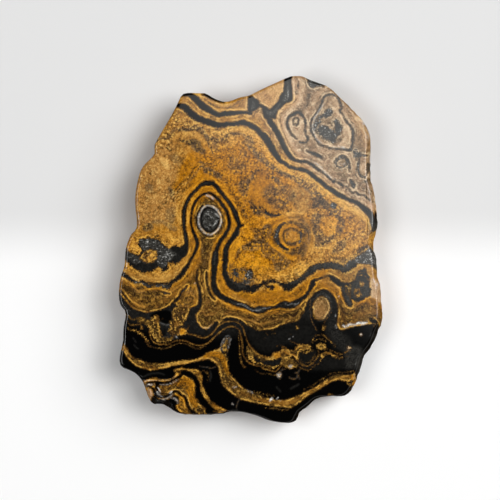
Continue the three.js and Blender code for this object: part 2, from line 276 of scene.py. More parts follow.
# Golden and brown streaks that follow the rings.
vein(.9, "410 355 14,10 -1 18,9 4 20,8 7 24,7 8,7 10 22,8 11 20,7 11 18,7 12,6 11 20,5 10 26,6 7 30",
     lamina=.6)
vein(1.2, "438 347 30,9 9 26,7 12 22,7 12,8 12,9 13 26,8 13 34,7 12", lamina=-.5)
vein(1.2, "456 352 24,8 16,10 14,10 16,8 12,8 16", lamina=.3)
patch(1.6, "408 336,8 -1,10 5,12 6,8 6,-5 5,-12 -6,-13 -4,-8 -2", lamina=-.55)
patch(1.6, "408 336,8 -1,10 5,2 6,-12 0", ash=.35)
patch(1.6, "481 364,7 -9,8 -6,8 -8,3 5,-6 11,-4 12,-4 11,-7 4,-6 -8", lamina=-.6)
vein(.9, "499 361 11,7 -12,9 -8", lamina=-.7)
patch(1.4, "499 401,7 3,7 8,8 7,4 7,-5 6,-9 -2,-6 -9,-5 -10", lamina=-.7)
vein(1.4, "521 415 22,7 4,7 7,7 4,8 1,8 -1", ink=1)
vein(.8, "524 418 12,12 8,8 4,8 0", ash=.6)
patch(2.2, "525 388,7 -15,12 -4,16 4,16 3,11 8,-1 14,-8 11,-14 5,-15 -1,-13 -9,-9 -7", lamina=-.42)
patch(2.2, "544 380,16 -3,20 3,4 16,-10 12,-20 2,-12 -12", ash=.4)
vein(.6, "566 379 9,10 -3,9 3,-1 7", lamina=.1)
vein(.6, "572 395 9,7 2,2 6,-6 4", lamina=.25)
vein(.8, "540 351 12,8 6,10 6,7 9", lamina=-.6)
vein(.8, "528 368 12,9 -4,9 4", lamina=-.65)
vein(.8, "589 407 12,2 7,6 2", lamina=-.5)
vein(1.6, "524 319 24,12 10 30,14 9 34,12 7 32,12 6 30,12 4,12 4 26", lamina=-.5)
vein(1.4, "550 338 20,12 7 24,12 6 30,12 4,12 4 26", ash=.45)
vein(1, "496 256 20,12 10 24,10 11,8 12 26,9 14,9 13 30,10 11,13 10,13 8 28,14 3 26,12 3 28,12 6,12 9 26,"
     "10 11 24,12 10 30", lamina=.55)
vein(1.2, "408 255 20,12 8 30,14 2 34,14 -4 32,14 -3 28,14 0 26,12 2 24", lamina=.4)
# Golden stripe above the ringed nodule.
vein(.9, "522 457 12,4 -8 24,10 -7 32,14 -5 30,14 -4,14 -5 28,14 -3 24,14 1 16", lamina=.75)
patch(1.4, "504 427,12 5,16 5,-6 8,-4 13,-8 -7,-7 -10", lamina=.35)
# The ringed nodule.
vein(.8, "538 476 18,4 -10,5 -11,8 -8,11 -5,12 -3,12 -1,12 3,9 5", lamina=.75)
vein(.9, "536 479 29,5 9,8 8,10 7,10 7,11 5,12 2", lamina=.8)
vein(.7, "566 438 11,14 -4,14 -1,13 2,11 6", lamina=-.45)
vein(.8, "569 446 8,-7 5 16,-5 7 24,-3 8 28,-1 9,3 9 26,6 7 24,8 6 16,6 3 8", ink=1)
vein(.8, "568 447 10,10 -3 14,11 0 16,11 3,9 7,7 9 18,2 11 20,-2 11 24,-6 10 28,-9 7 32,-12 2 34,-12 -2 30,"
     "-9 -4 20", lamina=-.75)
vein(.8, "578 444 14,11 0 16,11 3,9 7,7 9 18,2 11 20,-2 11 24,-6 10 28,-9 7 32,-12 2 34,-12 -2 30", ash=.5)
patch(.8, "564 459,8 -7,10 -3,12 1,10 6,7 9,2 11,-4 11,-8 8,-11 4,-12 -2,-10 -5,-6 -8,-3 -10,1 -9", lamina=.3)
vein(.6, "563 459 10,3 -5,8 -3", lamina=-.7)
vein(.6, "598 453 10,7 6,4 7", lamina=-.55)
vein(.6, "568 461 15,-1 8,1 8,4 8,7 5,8 2,9 -2,7 -5,4 -9,-1 -9,-6 -7,-8 -2,-9 0,-8 2,-5 4", lamina=-.85)
vein(.9, "601 463 18,2 7,-1 8,-3 7", ink=1)
patch(.9, "594 460,9 3,3 11,-5 11,-9 4,5 -13", ash=.55)
vein(.6, "573 469 9,2 10,6 6,9 1", lamina=-.55)
vein(.7, "585 467 14,2 6,-2 5", lamina=-.3)
# Brown patches under the golden stripe.
patch(1.3, "528 459,4 -6,8 -3,4 6,-3 10,-4 11,-6 4,-3 -8,2 -8", lamina=-.8)
patch(1.6, "508 462,10 -3,9 6,-1 12,-9 2,-8 -6", lamina=-.5)
patch(1.8, "506 482,12 -3,14 2,7 8,9 9,14 8,8 8,-1 10,-15 2,-16 -9,-12 -9,-10 -2,-12 -4,-4 -10", lamina=-.65)
vein(1.2, "473 504 23,7 -8,11 -5,11 -4,9 -6", lamina=-.7)
patch(1, "509 493,7 -2,6 4,-1 6,-6 3,-6 -4", lamina=.75)
vein(.8, "546 514 16,2 2", ink=1)
vein(.6, "525 507 9,2 6,5 6", lamina=.5)
patch(1, "465 486,9 -7,11 -2,3 5,-7 7,-8 7,-4 10,1 12,-3 8,-8 -2,1 -14,1 -13", lamina=.75)
patch(1.1, "472 508,7 -3,3 6,-5 7,-5 -2", lamina=-.6)
vein(1.2, "486 486 16,10 -5 24,8 -10 30,-6 -11,-6 -8 24", "482 512 30,14 -1,16 5,12 7", lamina=.5)
vein(.8, "500 511 15,5 2,7 -1", lamina=-.7)
vein(.7, "500 456 12,5 5,4 -2", lamina=-.6)
# The right side.
vein(.5, "600 338 28,8 2 30,8 4 32,7 5 36,7 6,8 6,8 6 40,8 7 36,8 5,8 6 44,8 5,8 3 38,8 5 32,7 3 36,7 2,"
     "8 4 40,7 5 44,7 6 48,7 6 52,5 7,3 8 50,2 9 48,1 9 40,-2 5 22", ink=1)
vein(1, "602 343 16,12 6,12 9,12 9,12 10,12 9,12 9,12 4,12 7,12 5,10 7,10 9,7 10,3 11,1 12", lamina=-.75)
vein(.8, "650 373 11,8 6,8 6", ash=.7)
vein(1, "743 438 24,3 10,0 12", ash=.8)
vein(.6, "636 339 22,7 4 16,7 5,6 6,6 6,6 3 20,5 1 10,7 3 22,5 4 20,5 3 8", ink=1)
vein(.4, "692 372 10,6 6,4 6,4 2,4 -2,3 1,4 4,6 1,6 1,4 4,5 4,6 3,5 0", ink=1)
vein(.5, "642 333 9,6 6,7 7,8 6,7 5,8 3,8 2", lamina=-.6)
vein(.5, "636 333 8,8 6,8 7,9 8,8 6,10 4", lamina=.65)
vein(.6, "688 369 8,9 5,7 7,8 1,8 5,10 1,9 8", lamina=.5)
patch(.7, "699 360,4 0,7 10,-2 6,-5 -5", ink=1)
patch(.8, "700 361,4 1,6 9,-3 4,-5 -6", ash=.8)
vein(.5, "682 361 9,9 1,9 -1", lamina=-.6)
vein(1.2, "712 344 24,1 12 26,4 12 20,3 10 14", lamina=-.5)
vein(.6, "717 342 13,2 6,5 5,6 2", ink=1)
patch(1.2, "720 349,7 4,7 3,3 9,-4 4,-8 -7,-6 -6", lamina=-.7, ash=.5)
vein(2.4, "716 364 50,10 12 70,12 10 50", lamina=-.25)
vein(1.2, "728 328 30,-2 10,8 10,6 12", lamina=.4)
# The olive arc and the brown cloud under band two.
vein(1.3, "598 362 30,10 2 26,10 0,8 5 34,7 8 40,4 9 44,4 10 46,1 8 50", lamina=-.65)
vein(1.3, "608 364 20,10 0 24,8 5 30,7 8 34,4 9 40,4 10,1 8", ash=.45)
patch(1.6, "606 368,10 0,10 8,2 10,-10 -1,-8 -7", lamina=-.42)
patch(1.4, "631 392,8 -4,9 11,8 6,1 12,-9 -4,-13 2,-11 2,1 -10,6 -6", lamina=-.65)
vein(.6, "629 403 11,3 4,-2 3", lamina=.5)
vein(.5, "645 394 13,4 3,4 5", lamina=-.8)
patch(.8, "661 410,3 -4,6 0,3 4,-2 6,-6 1,-3 -3", ink=1)
patch(.7, "662 410,2 -4,6 0,2 4,-2 6,-5 0", ash=.9)
vein(.5, "659 415 9,5 5,7 0,5 -7,-1 -6", lamina=.4)
vein(.7, "677 410 15,4 5,0 4", lamina=-.7)
patch(1.2, "657 419,9 3,9 3,-2 6,-10 0,-6 -5", lamina=-.55, ash=.4)
vein(.7, "674 421 10,7 5 16,5 6 22,3 3 12", lamina=.8)
patch(1.3, "666 431,9 -1,9 7,7 5,-4 7,-5 6,2 7,-8 1,-5 -10,1 -12", lamina=-.65)
patch(1.2, "643 439,7 -5,12 -1,8 3,1 9,-3 11,3 9,-11 6,-9 0,-7 -13,0 -10", lamina=.5)
vein(1.4, "622 422 30,4 8 40,-4 6 20", lamina=.35)
patch(1.4, "631 428,8 -2,4 9,-4 8,-6 -3", lamina=-.5)
patch(1.5, "622 442,8 3,7 11,8 5,1 8,-7 7,6 9,-4 10,-11 -4,-6 -10,5 -13,-6 -12", lamina=-.7)
patch(1.5, "626 448,11 8,8 5,1 8,-7 7,6 9,-4 10,-11 -4,-1 -23", ash=.3)
vein(.7, "619 458 22,4 8,4 7,3 7", lamina=.9)
vein(1.3, "642 492 30,8 -6,9 -7,9 -6,9 -5", lamina=-.6)
patch(1.2, "661 506,8 -9,4 -8,7 -6,9 -3,2 8,-4 8,-8 6,-9 5", lamina=-.85, ash=.35)
vein(.6, "732 456 18,3 2", lamina=.95)
vein(1.5, "696 502 30,12 -8 40,10 -9", lamina=.5)
vein(1.2, "672 514 30,14 -4,14 -5", lamina=.5)
vein(1.4, "736 466 30,2 12,3 10", lamina=.55)
vein(1.4, "728 428 30,6 12,2 12", lamina=.45)
vein(.9, "706 449 16,7 6,7 -1", "690 472 18,10 -9,10 -3", lamina=-.5)
patch(1.6, "710 508,7 -7,8 -7,8 -3,7 3,6 6,5 8,3 16,-10 1,-16 -6,-16 0,-10 -1", lamina=-.65, ash=.75)
# The lower left of the middle.
patch(1.1, "261 516,6 1,8 6,9 3,10 2,10 0,8 -5,8 -3,10 -4,12 -4,14 -4,12 -4,6 0,-1 4,-5 5,-5 4,-4 5,-5 4,"
      "-5 3,-4 -4,-1 -6,-5 -1,-3 6,-1 8,-3 7,-6 4,-3 -5,-1 -9,-5 -1,-3 6,-4 4,-5 3,-5 3,-7 0,-7 -2,-7 0,"
      "-5 -4,-6 -3,-4 -5,-2 -6", ink=1)
patch(1.2, "280 512,10 -4,6 -8,12 -1,4 9,-4 12,-12 6,-12 -2", lamina=-.45, ash=.4)
vein(.9, "298 516 24,4 -4,4 -5", lamina=.6)
vein(1.5, "312 512 30,14 0 40,14 -2,10 -2 30", ash=.7)
vein(1.6, "252 532 40,12 12,14 7,16 3 50,18 2,16 -2,12 -6,12 -9,10 -10 44,10 -11 40,7 -11 30", lamina=.35)
vein(1, "239 543 30,5 4 40,7 5 34,7 5,9 6 26,9 2 18,9 -2 20,7 5 36,7 4 30,5 -1 14", ink=1)
vein(.9, "298 567 12,10 1 16,8 2 34,8 -2 20,8 -1 24,8 -1,8 -4 26,7 -6 36,7 -6 44,6 -7 34,6 -9 28,5 -9 24,"
     "5 -10 22,4 -7", ink=1)
patch(1.5, "325 568,11 -2,8 3,-5 7,-9 1,-5 -3", ink=1)
patch(1.4, "268 562,14 1,10 5,12 4,12 -4,14 1,10 3,-8 6,-16 -2,-16 1,-14 0,-12 1,-6 -8", lamina=-.6, ash=.8)
vein(.6, "267 568 12,4 7,5 7,6 1,7 -4,7 -2,8 1,9 -2,8 2,7 4,9 1,6 -2", lamina=.6)
vein(1, "241 554 30,8 6,9 5,8 4", lamina=-.25)
vein(.7, "239 562 13,9 7,9 6,8 8,8 6,11 4", lamina=-.75)
vein(1, "244 573 19,10 8,10 8,10 5", lamina=-.55)
patch(1.2, "286 585,8 -3,10 2,12 -1,4 4,-8 7,-14 2,-10 -4", lamina=-.6, ash=.4)
vein(.6, "323 583 12,7 3,9 1", ink=1)
vein(.6, "268 603 12,8 6,8 3,10 0,11 -3,11 -3,10 -4,10 -2,8 -4", lamina=.8)
vein(1.4, "328 595 30,16 -9 34,14 -11,12 -13,12 -13 30,10 -12 26,6 -15 24", lamina=.3)
vein(.8, "348 575 12,12 -8,12 -11,10 -11", lamina=-.5)
vein(.9, "300 598 17,20 -4,20 -6,16 -8", lamina=-.45)
vein(.4, "239 577 9,7 10,9 12,9 10,8 6", ink=1)
# The black river.
patch(.5, "224 572,12 11,5 8,7 8,9 10,8 8,11 5,11 3,9 1,9 -2,10 -2,8 -2,10 -4,7 -4,6 -7,6 -7,6 -6,3 -9,6 -5,"
      "8 -7,-6 9,-6 7,-3 8,-5 6,-6 5,4 6,2 6,-3 6,-7 3,-2 7,3 6,-6 5,-6 -5,-8 -3,-6 1,-3 -6,-7 0,-6 4,-8 3,"
      "-8 -2,-6 -3,-6 1,-7 3,-7 -2,-7 -6,-5 -7,-7 -8,-5 -11,-14 -10", ink=1)
vein(.6, "256 619 10,5 2", ash=.9)
patch(1.5, "320 630,20 0,4 10,-12 4,-12 -4", ash=.1)
vein(.4, "239 582 9,7 11,10 13,9 8,11 6,11 2,9 1,8 -2,10 -1,9 -3,9 -4,8 -5,7 -7,7 -7,4 -8,9 -8", lamina=.85)
# The olive nodule.
patch(1, "362 584,8 -6,8 -5,8 -1,6 6,2 10,0 12,-3 8,-7 7,-8 4,-8 -1,-6 -6,-3 -12", lamina=-.25, ash=.25)
vein(.8, "384 602 18,1 6", lamina=.4)
vein(.5, "395 540 10,-1 10 16,-1 10,2 8,3 8 20,2 10 24,1 12,-1 10 30,-4 8 36,-9 6 70", ink=1)
vein(.5, "387 569 9,5 4,3 7,1 10,-1 10", lamina=.7)
vein(.5, "389 566 11,2 1", cream=.8)
# The black trunk and the cup in it.
patch(.7, "399 610,1 8,-6 4,-3 9,1 11,5 7,5 7,10 3,8 -4,6 -6,6 -6,4 3,-2 8,-8 8,-7 6,-9 4,-11 -1,-11 -3,"
      "-10 -3,-3 -8,-8 -5,-1 -5,6 -6,3 -8,4 -8,2 -7,7 -3", ink=1)
vein(.5, "395 621 10,-3 9,2 11,5 8,6 6,8 2,7 -3,4 -7,7 -7,7 -4", lamina=.7)
patch(1, "398 624,8 10,12 1,10 -3,-4 10,-10 10,-12 -6,-6 -12", lamina=-.35)
vein(.6, "407 623 14,4 8,5 -2,7 -3,7 1", lamina=.8)
vein(.4, "413 544 10,0 14,2 13,3 12,6 10,6 6", ink=1)
vein(.5, "418 524 11,-1 18,1 18,2 14,5 11,6 7", lamina=.6)
# Under the eye and the golden hollow.
vein(.7, "451 520 58,-1 8 48,-1 10 42,1 10 50,5 11 54,6 10 60,8 7 54,9 3 46,10 -1 34,8 2 50", ink=1)
vein(.5, "430 520 66,-1 12 56,-1 12 50,-1 14 48,1 14 50,4 10 54,7 8 50,9 6 46,10 5 48,12 5,12 4 46,10 3,"
     "8 4 42,8 3 40,9 0 70,9 -1 60,8 -2 32,10 -2 18,8 -1 24,8 -3 40,9 -2 70,9 2 60,8 -2,8 -4 50,8 -6 36,"
     "8 -6 30", ink=1)
vein(.6, "431 504 16,-1 12,-2 14", ash=.7)
vein(.6, "458 601 10,8 4,10 3,10 2,8 5,6 4", ash=.8)
patch(1, "510 616,8 -2,10 3,-4 6,-10 0", ash=.45)
patch(.8, "566 607,6 -2,2 5", "585 608,6 -1,-1 5", ash=.8)
patch(2.2, "456 548,6 8,8 6,10 4,12 2,8 4,-6 10,-14 1,-14 -7,-10 -10", ink=1)
patch(1.5, "458 528,14 12,16 20,12 8,-8 8,-16 -4,-14 -14,-6 -18", ash=.5)
patch(1.8, "458 530,8 2,10 6,10 6,2 16,-8 4,-12 -6,-8 -12", lamina=-.6)
patch(1.2, "491 550,3 -6,6 -4,5 3,-1 9,-4 7,-7 -1", ink=1, ash=.6)
vein(.6, "487 554 10,2 -10,7 -7,9 0,3 7,-1 12", lamina=.4)
vein(1.3, "492 570 30,8 8 70,8 -1 64,8 -5 44,8 -3 34,7 -5 30,8 -1,7 0 24,8 1 20,8 4 26,8 4 60,7 1 86,"
     "7 -3 70,8 -5 50,8 -5,10 -8 48,10 -9 62,10 -7 64,10 -4 56,10 0 64,10 -2 56,10 2 62,10 3 60,11 3 56,"
     "9 -6 76,5 -4,5 -4 58,7 -3 34,7 0 16,8 0 12,8 1 20,6 6 30,4 6 20", ink=1)
vein(1, "584 566 30,16 -8 40,16 -11,12 -10,12 -6,16 -1 50,16 3 40,16 5,16 -10", ash=.55)
vein(1.5, "530 569 20,6 4 30,7 4 24,3 -5 20", ink=1)
patch(1, "544 580,3 -11,6 -3,6 4,3 10,-4 8,-10 0", lamina=.35)
patch(1.2, "524 569,10 -2,10 1,-1 8,-11 4,-8 -3", lamina=-.5)
# Laminae under the black fold.
vein(.6, "532 625 10,8 -4,12 1,10 3,10 -1,9 -3,11 -3,8 -6,6 -8,5 -7", lamina=.5)
vein(.6, "426 591 12,6 5 24,10 7 14,10 7,12 4 12,14 4,14 4,12 4,7 4 8", lamina=.8)
vein(.7, "428 612 12,16 5,16 5,18 5,18 7,16 5,18 -3,20 -5,22 0,18 -5,10 -8", lamina=-.5)
vein(.6, "432 622 14,6 6,4 3", lamina=-.8)
# The lower black mass.
patch(.5, "224 626,18 -1,8 2,4 6,10 8,12 -2,14 2,10 2,10 1,10 -6,20 2,12 8,16 4,12 12,20 8,20 -6,16 -14,"
      "12 -11,12 -3,12 2,8 3,8 5,12 6,12 6,12 2,12 -1,14 -3,12 -7,18 -5,14 -3,6 -6,3 -5,6 -8,1 -7,3 -5,2 -7,"
      "5 -8,6 -6,6 -5,7 -4,8 -3,9 3,7 6,6 8,4 11,2 11,0 12,-1 9,0 5,-1 6,3 7,6 4,8 -1,10 -3,10 -3,14 -2,"
      "12 -2,10 -1,10 -2,12 -3,16 -4,0 224,-560 0", ink=1)
vein(.6, "450 627 10,12 4,14 3,14 4,12 4,12 5,10 3,16 -6,16 -5,20 -1,16 -5,8 -9", lamina=.6)
vein(.5, "458 634 8,14 2,14 4,12 5,10 6,9 6", ash=.6)
vein(.5, "448 640 20,10 -2,14 2,10 4,8 6", ink=1)
# Golden lines in the black, left.
vein(.6, "250 622 14,4 7,8 7,6 3,8 -4,6 1,8 2,8 2,4 -3,8 -6,6 -1", bare=1)
patch(1.6, "276 636,16 4,10 -2,10 -4,6 6,2 12,2 14,4 8,14 0,10 -6,-6 12,-16 6,-14 -4,-10 -10,-6 -12,-6 -10,"
      "-12 -2,-6 -6", bare=1)
patch(2, "272 636,20 4,10 -2,10 -4,6 6,2 12,2 14,4 8,14 0,12 -6,-8 14,-16 6,-14 -4,-10 -10,-8 -14,-6 -8,"
      "-10 0,-8 -8", lamina=-.72)
vein(.7, "250 638 12,6 7 14,6 5,6 0,8 -1,6 3 18,2 4 34", bare=1, lamina=.35)
vein(.5, "294 650 16,5 6,0 8,2 8,3 8,6 6,10 3,10 0,6 1,4 -3,8 -4,8 -2,8 0,10 2,8 4,10 3,8 1,10 -2,6 -3,8 -7,"
     "8 -8,8 -7,8 -6,8 -4,8 -1,8 2,6 5,3 8,2 10,2 12,0 12,2 9,6 10,8 6,10 4,11 2,7 5,8 1,6 3,8 1,6 -6,6 -6,"
     "4 -8,5 -7,-5 -5", bare=1, lamina=.5)
vein(.7, "254 654 13,6 6,8 2,8 4,8 6,6 6,4 9,6 5,10 3,10 2,10 0,10 -3,10 -5,12 -3,12 2,12 6,8 3,10 -3,8 -2",
     bare=1, lamina=-.5)
vein(1.2, "262 660 21,10 2,10 6,10 10,6 8", bare=1, lamina=-.2)
vein(.5, "374 667 16,8 2,8 2,8 3,8 2,8 -2,8 -5,6 -6,5 -7,5 -5,8 -5,8 -3,10 0,10 2,8 5,4 7,3 9,3 10,4 10,3 8,"
     "4 6", bare=1, lamina=.55)
vein(.8, "477 670 12,1 13,1 14,0 9 14,2 9 16,2 10 18,4 8 16,4 2 14", bare=1, lamina=-.1)
# The orange streak, the black hole and the tan nodule.
vein(.8, "316 632 24,-2 10,3 12,3 10,4 8", bare=1, lamina=-.15, hue=1.6)
patch(.9, "344 624,8 -1,8 -6,10 2,6 5,-3 10,-5 6,0 10,-9 3,-9 -3,-2 -9,-3 -9", bare=1, lamina=.1)
vein(.6, "342 624 9,4 8,4 6,8 3,8 -2,6 -7", lamina=.55)
patch(1, "359 660,5 -2,6 2,0 6,-5 3,-5 -2", hue=.9)
vein(.7, "375 650 9,4 1", bare=1)
vein(.8, "266 676 8,6 8", "268 690 8,8 8", ash=.45)
# The arch, the oval and the right rim.
vein(.6, "619 581 24,3 -7 36,4 -7 46,1 -5 26,7 -3 10,8 -3,7 -2,6 -3 12,5 1 20,5 5 40,6 4 50,6 4,6 4 44,"
     "7 -1 24,8 -1 18,6 0 24,6 -3 30", "609 594 26,5 -6,5 -7", ink=1)
vein(.8, "685 568 40,2 10 36,2 10 40,5 10 50,4 8 54,3 5 24", ink=1)
vein(.8, "686 576 20,4 12,6 12 34,4 8 30", ash=.6)
patch(.9, "713 553,5 -10,7 -4,6 -2,3 11,5 8,-1 11,3 12,-2 12,-8 4,-8 5,-9 3,-8 -4,-11 -2,-2 -13,1 -12,6 -4,"
      "7 -1,3 -4", ink=1)
patch(1.4, "713 553,5 -10,13 -6,8 19,-1 11,3 12,-2 12,-16 5,-17 0,-11 1,-2 -13,1 -12,13 -5", ash=.55)
patch(1.6, "696 571,6 1,1 10,-2 10,-5 1,-1 -11", bare=1, lamina=-.9)
patch(1.2, "719 565,4 -2,5 2,0 5,-5 3,-4 -3", bare=1)
patch(1.3, "708 579,9 -4,3 6,3 9,-6 4,-8 -3", bare=1, lamina=-.35)
vein(.8, "711 586 20,4 -1,3 -4", ink=1)
vein(.8, "717 547 10,6 -3,7 1", "718 553 10,6 -3,7 2,5 8", bare=1)
vein(.9, "717 547 28,7 1,8 1,4 11", lamina=-.2)
patch(1.5, "714 544,18 -6,7 20,-9 4,-14 -4", ash=.4)
# The laminae of the arch band.
vein(.7, "610 602 40,8 -10 44,8 -11 50,10 -10 60,12 -5 70,12 3,10 9 66,7 13 56,3 15 46,1 18 40,-1 20",
     lamina=-.1)
vein(.6, "660 563 10,9 4 12,7 8,4 8,2 9,4 8 14,5 10 16,7 7,6 -1,7 -4,8 -6 22,8 -4 24,8 -4 18,7 -2 12",
     lamina=.55)
vein(.7, "631 584 10,6 -5,10 -3,11 4 12,8 6,7 10,4 12,1 12 14,-1 17 16,-2 11", lamina=.55)
vein(.7, "630 569 10,7 -7,9 -2,8 3", lamina=.3)
vein(.6, "682 597 10,2 11,0 12,-2 17", lamina=-.7)
vein(.5, "636 567 8,10 -2,10 3,10 7,7 11,4 12", lamina=-.6)
vein(.4, "677 593 11,1 0", cream=.8)
vein(.6, "590 617 14,10 -8,7 -9,10 -11,8 -9,5 -10", lamina=.55)
vein(.6, "593 640 9,7 -3,3 -5,6 -8,1 -7,4 -10,5 -10,7 -8", lamina=.5)
# Inside the arch.
patch(.8, "626 600,6 -7,8 -6,8 0,8 6,5 9,3 12,-1 12,-7 10,-8 8,-14 0,-10 -10,-2 -16,0 -12", lamina=-.85)
patch(1, "626 600,6 -7,8 -8,8 0,10 8,5 11,-1 10,-4 -14,-10 -8,-12 2", ash=.75)
patch(.7, "636 594,8 -2,7 2,6 6,3 7,1 10,-2 7,-5 8,-5 7,-9 2,-6 0,-5 -4,-4 -9,-1 -11,1 -9,5 -7", bare=1)
patch(.7, "636 596,8 -2,7 2,6 5,2 6,1 10,-2 7,-5 8,-5 6,-8 1,-6 0,-5 -3,-3 -9,0 -10,1 -9,4 -6", lamina=0)
vein(.5, "626 617 11,0 8,2 9,4 5", lamina=-.75)
vein(.6, "636 608 9,5 8,-1 9,5 7", lamina=-.45)
vein(.6, "656 603 10,-2 5,3 6", lamina=-.55)
vein(.6, "621 600 9,-1 10,0 12,2 15,4 11,4 7,3 7", bare=1, lamina=.1, ash=.5)
vein(.6, "663 624 9,-6 8,-6 9,-3 8,-1 6", bare=1, lamina=-.1)
patch(4, "656 634,10 -6,8 12,1 14,13 12,12 10,2 20,-22 4,-16 -12,-8 -18,-4 -22", ash=.14)
patch(1, "644 651,7 0,1 8,-6 2", bare=1, lamina=-.5)
vein(.4, "672 627 8,-1 6", cream=.5)
vein(.8, "671 650 11,2 6", bare=1, cream=.35)
# The golden ledge right of the arch and the bright thread under it.
patch(1.4, "686 606,10 14,10 1,10 -9,12 -6,16 -6,20 6,4 38,-24 0,-16 -2,-28 6,-14 4,-5 -16,3 -18",
      lamina=-.15)
patch(1, "690 624,6 -2,6 4,1 6,-6 3,-6 -4", lamina=-.7)
vein(.9, "704 626 14,8 -6,10 -5,10 1", lamina=-.65)
vein(1.4, "706 636 30,12 -7 40,14 -4 50,16 -3,14 2 40", lamina=.25)
vein(.9, "724 638 14,12 -5,12 -2,14 2", lamina=-.6)
vein(.5, "686 651 14,6 3 18,7 -5,10 1,8 -4,8 1 26,8 -2 14,2 -2 8", cream=.95)
patch(.9, "740 636,7 3,6 3,-2 5,-8 -3,-4 -4", ink=1)
vein(.8, "747 653 12,3 -4,5 -3", bare=1, ash=.5)
patch(.5, "720 669,2 -2,2 1,1 2,-2 1,-3 0", cream=.95)
patch(.6, "718 670,3 -4,4 0,1 4,-3 3,-4 0", bare=1)
patch(1.2, "744 667,6 -1,1 6,-6 1", ash=.5)
# The pinkish ground at the right rim, its grey spots and slate corner, and painted highlights: cream lines
# and a patch where the rim's step and edge catch the light.
patch(1.6, "741 558,9 0,18 10,4 38,-14 0,-8 -8,-9 -4,1 -18", hue=-.9, lamina=.3)
patch(1.2, "751 577,5 -2,4 5,-3 4,-5 -1", ash=.4)
# Painted highlight: the bright line and patch where the step in the right rim catches the light.
vein(.6, "746 558 11,3 6,5 5,4 7,2 4", cream=.9)
patch(1, "751 547,6 -1,1 10,-4 2", cream=.6)
patch(1.4, "740 500,12 0,4 16,-2 16,-5 4,-5 -8,-3 -12", ash=.9)
patch(1.4, "746 500,8 0,2 16,-2 14,-4 6,-5 -10,2 -12", ink=1)
# Painted highlight: a faint cream line on the right rim where the polished edge catches the light.
vein(.8, "752 504 10,3 12,0 12", cream=.3)
# Faint marks on the black right.
vein(1.2, "624 685 13,2 -6,4 -5,7 -3,6 -2,7 3,7 7,6 6,7 7", bare=1)
vein(1.2, "622 687 13,3 -8,5 -5,7 -3,6 -2,7 3,7 7,6 6,7 7", lamina=-.35)
vein(1.2, "623 684 10,11 -5,10 0,8 4", bare=1, lamina=-.6)
patch(1.2, "633 689,9 -3,9 3,2 7,-7 4,-10 0,-2 -5", bare=1, lamina=-.4)
patch(1.3, "598 689,10 -1,10 2,5 4,-3 5,-10 3,-10 2,-8 2,-4 -4", bare=1, lamina=-.15)
patch(1.6, "600 704,12 -3,12 -1,6 6,-2 10,-10 9,-10 0,-8 -7", bare=1, lamina=-.88)
patch(1.2, "622 704,7 0,0 8,-6 1", ink=1)
patch(.9, "591 652,5 0,1 5,-5 2", bare=1, ash=.5)
vein(.6, "526 679 8,4 -3", "532 666 7,4 4", "542 668 8,8 -1", bare=1)
vein(.8, "544 660 8,6 2", bare=1)
vein(.6, "578 666 8,4 4", bare=1)
vein(.6, "586 673 9,1 1", bare=1, cream=.4)
vein(.6, "578 677 10,2 1", cream=.6)
# The broad golden band.
patch(.7, "236 694,9 -7,4 0,8 14,6 9,10 7,10 2,7 4,9 3,14 1,17 -2,13 -2,14 -2,13 -2,13 0,14 -4,10 -6,10 -6,"
      "13 -4,7 -3,4 -4,3 11,4 4,5 -1,1 9,2 12,2 12,5 11,8 8,10 11,10 8,12 6,16 7,18 5,14 3,19 1,13 -4,14 -5,"
      "13 -7,13 -6,11 -6,9 -7,10 -6,9 -6,8 -3,13 0,14 -1,13 -2,16 -5,-2 11,-9 4,-12 6,-6 2,-11 -1,-8 -2,"
      "-11 2,-8 4,-12 7,-10 7,-14 8,-13 8,-9 8,-11 7,-13 5,-14 -2,-20 -2,-17 -3,-16 -3,-17 -4,-14 -5,-9 -5,"
      "-11 -8,-10 -10,-7 -9,-3 -13,-2 -12,-3 -10,-7 -6,-9 -5,-8 0,-13 3,-14 3,-13 3,-13 2,-14 2,-12 4,-14 2,"
      "-14 3,-13 -3,-11 -3,-12 -6,-9 -9,-8 -12,-8 -9", bare=1)
vein(1, "244 688 20,8 14 30,10 12 34,12 8 36,14 5 40,16 4,16 0 34,20 -3 24,20 -4 20,20 -3 16", lamina=-.35)
vein(.6, "288 737 8,16 2 14,14 -2 16,14 -3 18,16 -4 20,18 -4,18 -3 22,14 -3 24,12 -4,10 0 22,8 4 18",
     lamina=.6)
vein(.8, "246 690 13,8 13,9 10,11 6", lamina=.35)
vein(.7, "245 700 12,9 12,10 12,12 8", lamina=.3)
vein(.6, "250 703 10,10 13,12 9,16 6,18 4", lamina=-.6)
vein(1.6, "410 712 30,14 -4 40,14 2 50,8 10,5 14 40,6 14 30", hue=.75)
vein(1.2, "410 713 14,12 -2 20,12 4 24,9 6 26,6 11,4 13,7 13 30,11 13,13 10,16 8 26,18 6 24", lamina=-.35)
vein(.8, "430 722 16,8 9 26,6 11 30,4 13,5 12,9 11,12 9 28,16 7 26,18 5 24,20 4,20 4 28,20 2 30,14 -4 26,"
     "14 -7 24,14 -8,16 -9 20,16 -10,16 -10,14 -6,18 0 24,14 -3", lamina=.4)
vein(1.4, "458 732 20,3 12,8 12,11 11,13 9,15 8,16 6,18 5", lamina=-.75)
vein(.6, "437 726 10,6 12,3 14,5 13,8 12,12 10,15 8,18 6,20 5,20 3,22 3", lamina=-.55)
vein(.6, "460 766 10,12 11,14 9,18 7,20 6,24 4", lamina=-.5)
vein(.7, "580 800 10,14 -6,16 -8,16 -10,16 -9,14 -9,16 -6,18 -1", lamina=-.5)
vein(.8, "524 807 17,20 5,24 3,18 -4,18 -10", lamina=-.55)
vein(.5, "467 773 10,1 2", cream=.8)
vein(.5, "471 774 10,2 0", cream=.6)
vein(.5, "495 781 10,5 2,5 3", cream=.7)
vein(.5, "540 801 22,3 -3,1 -2", cream=.95)
vein(.5, "554 798 13,2 -3", bare=1, cream=.9)
vein(.5, "560 801 9,1 1", cream=.6)
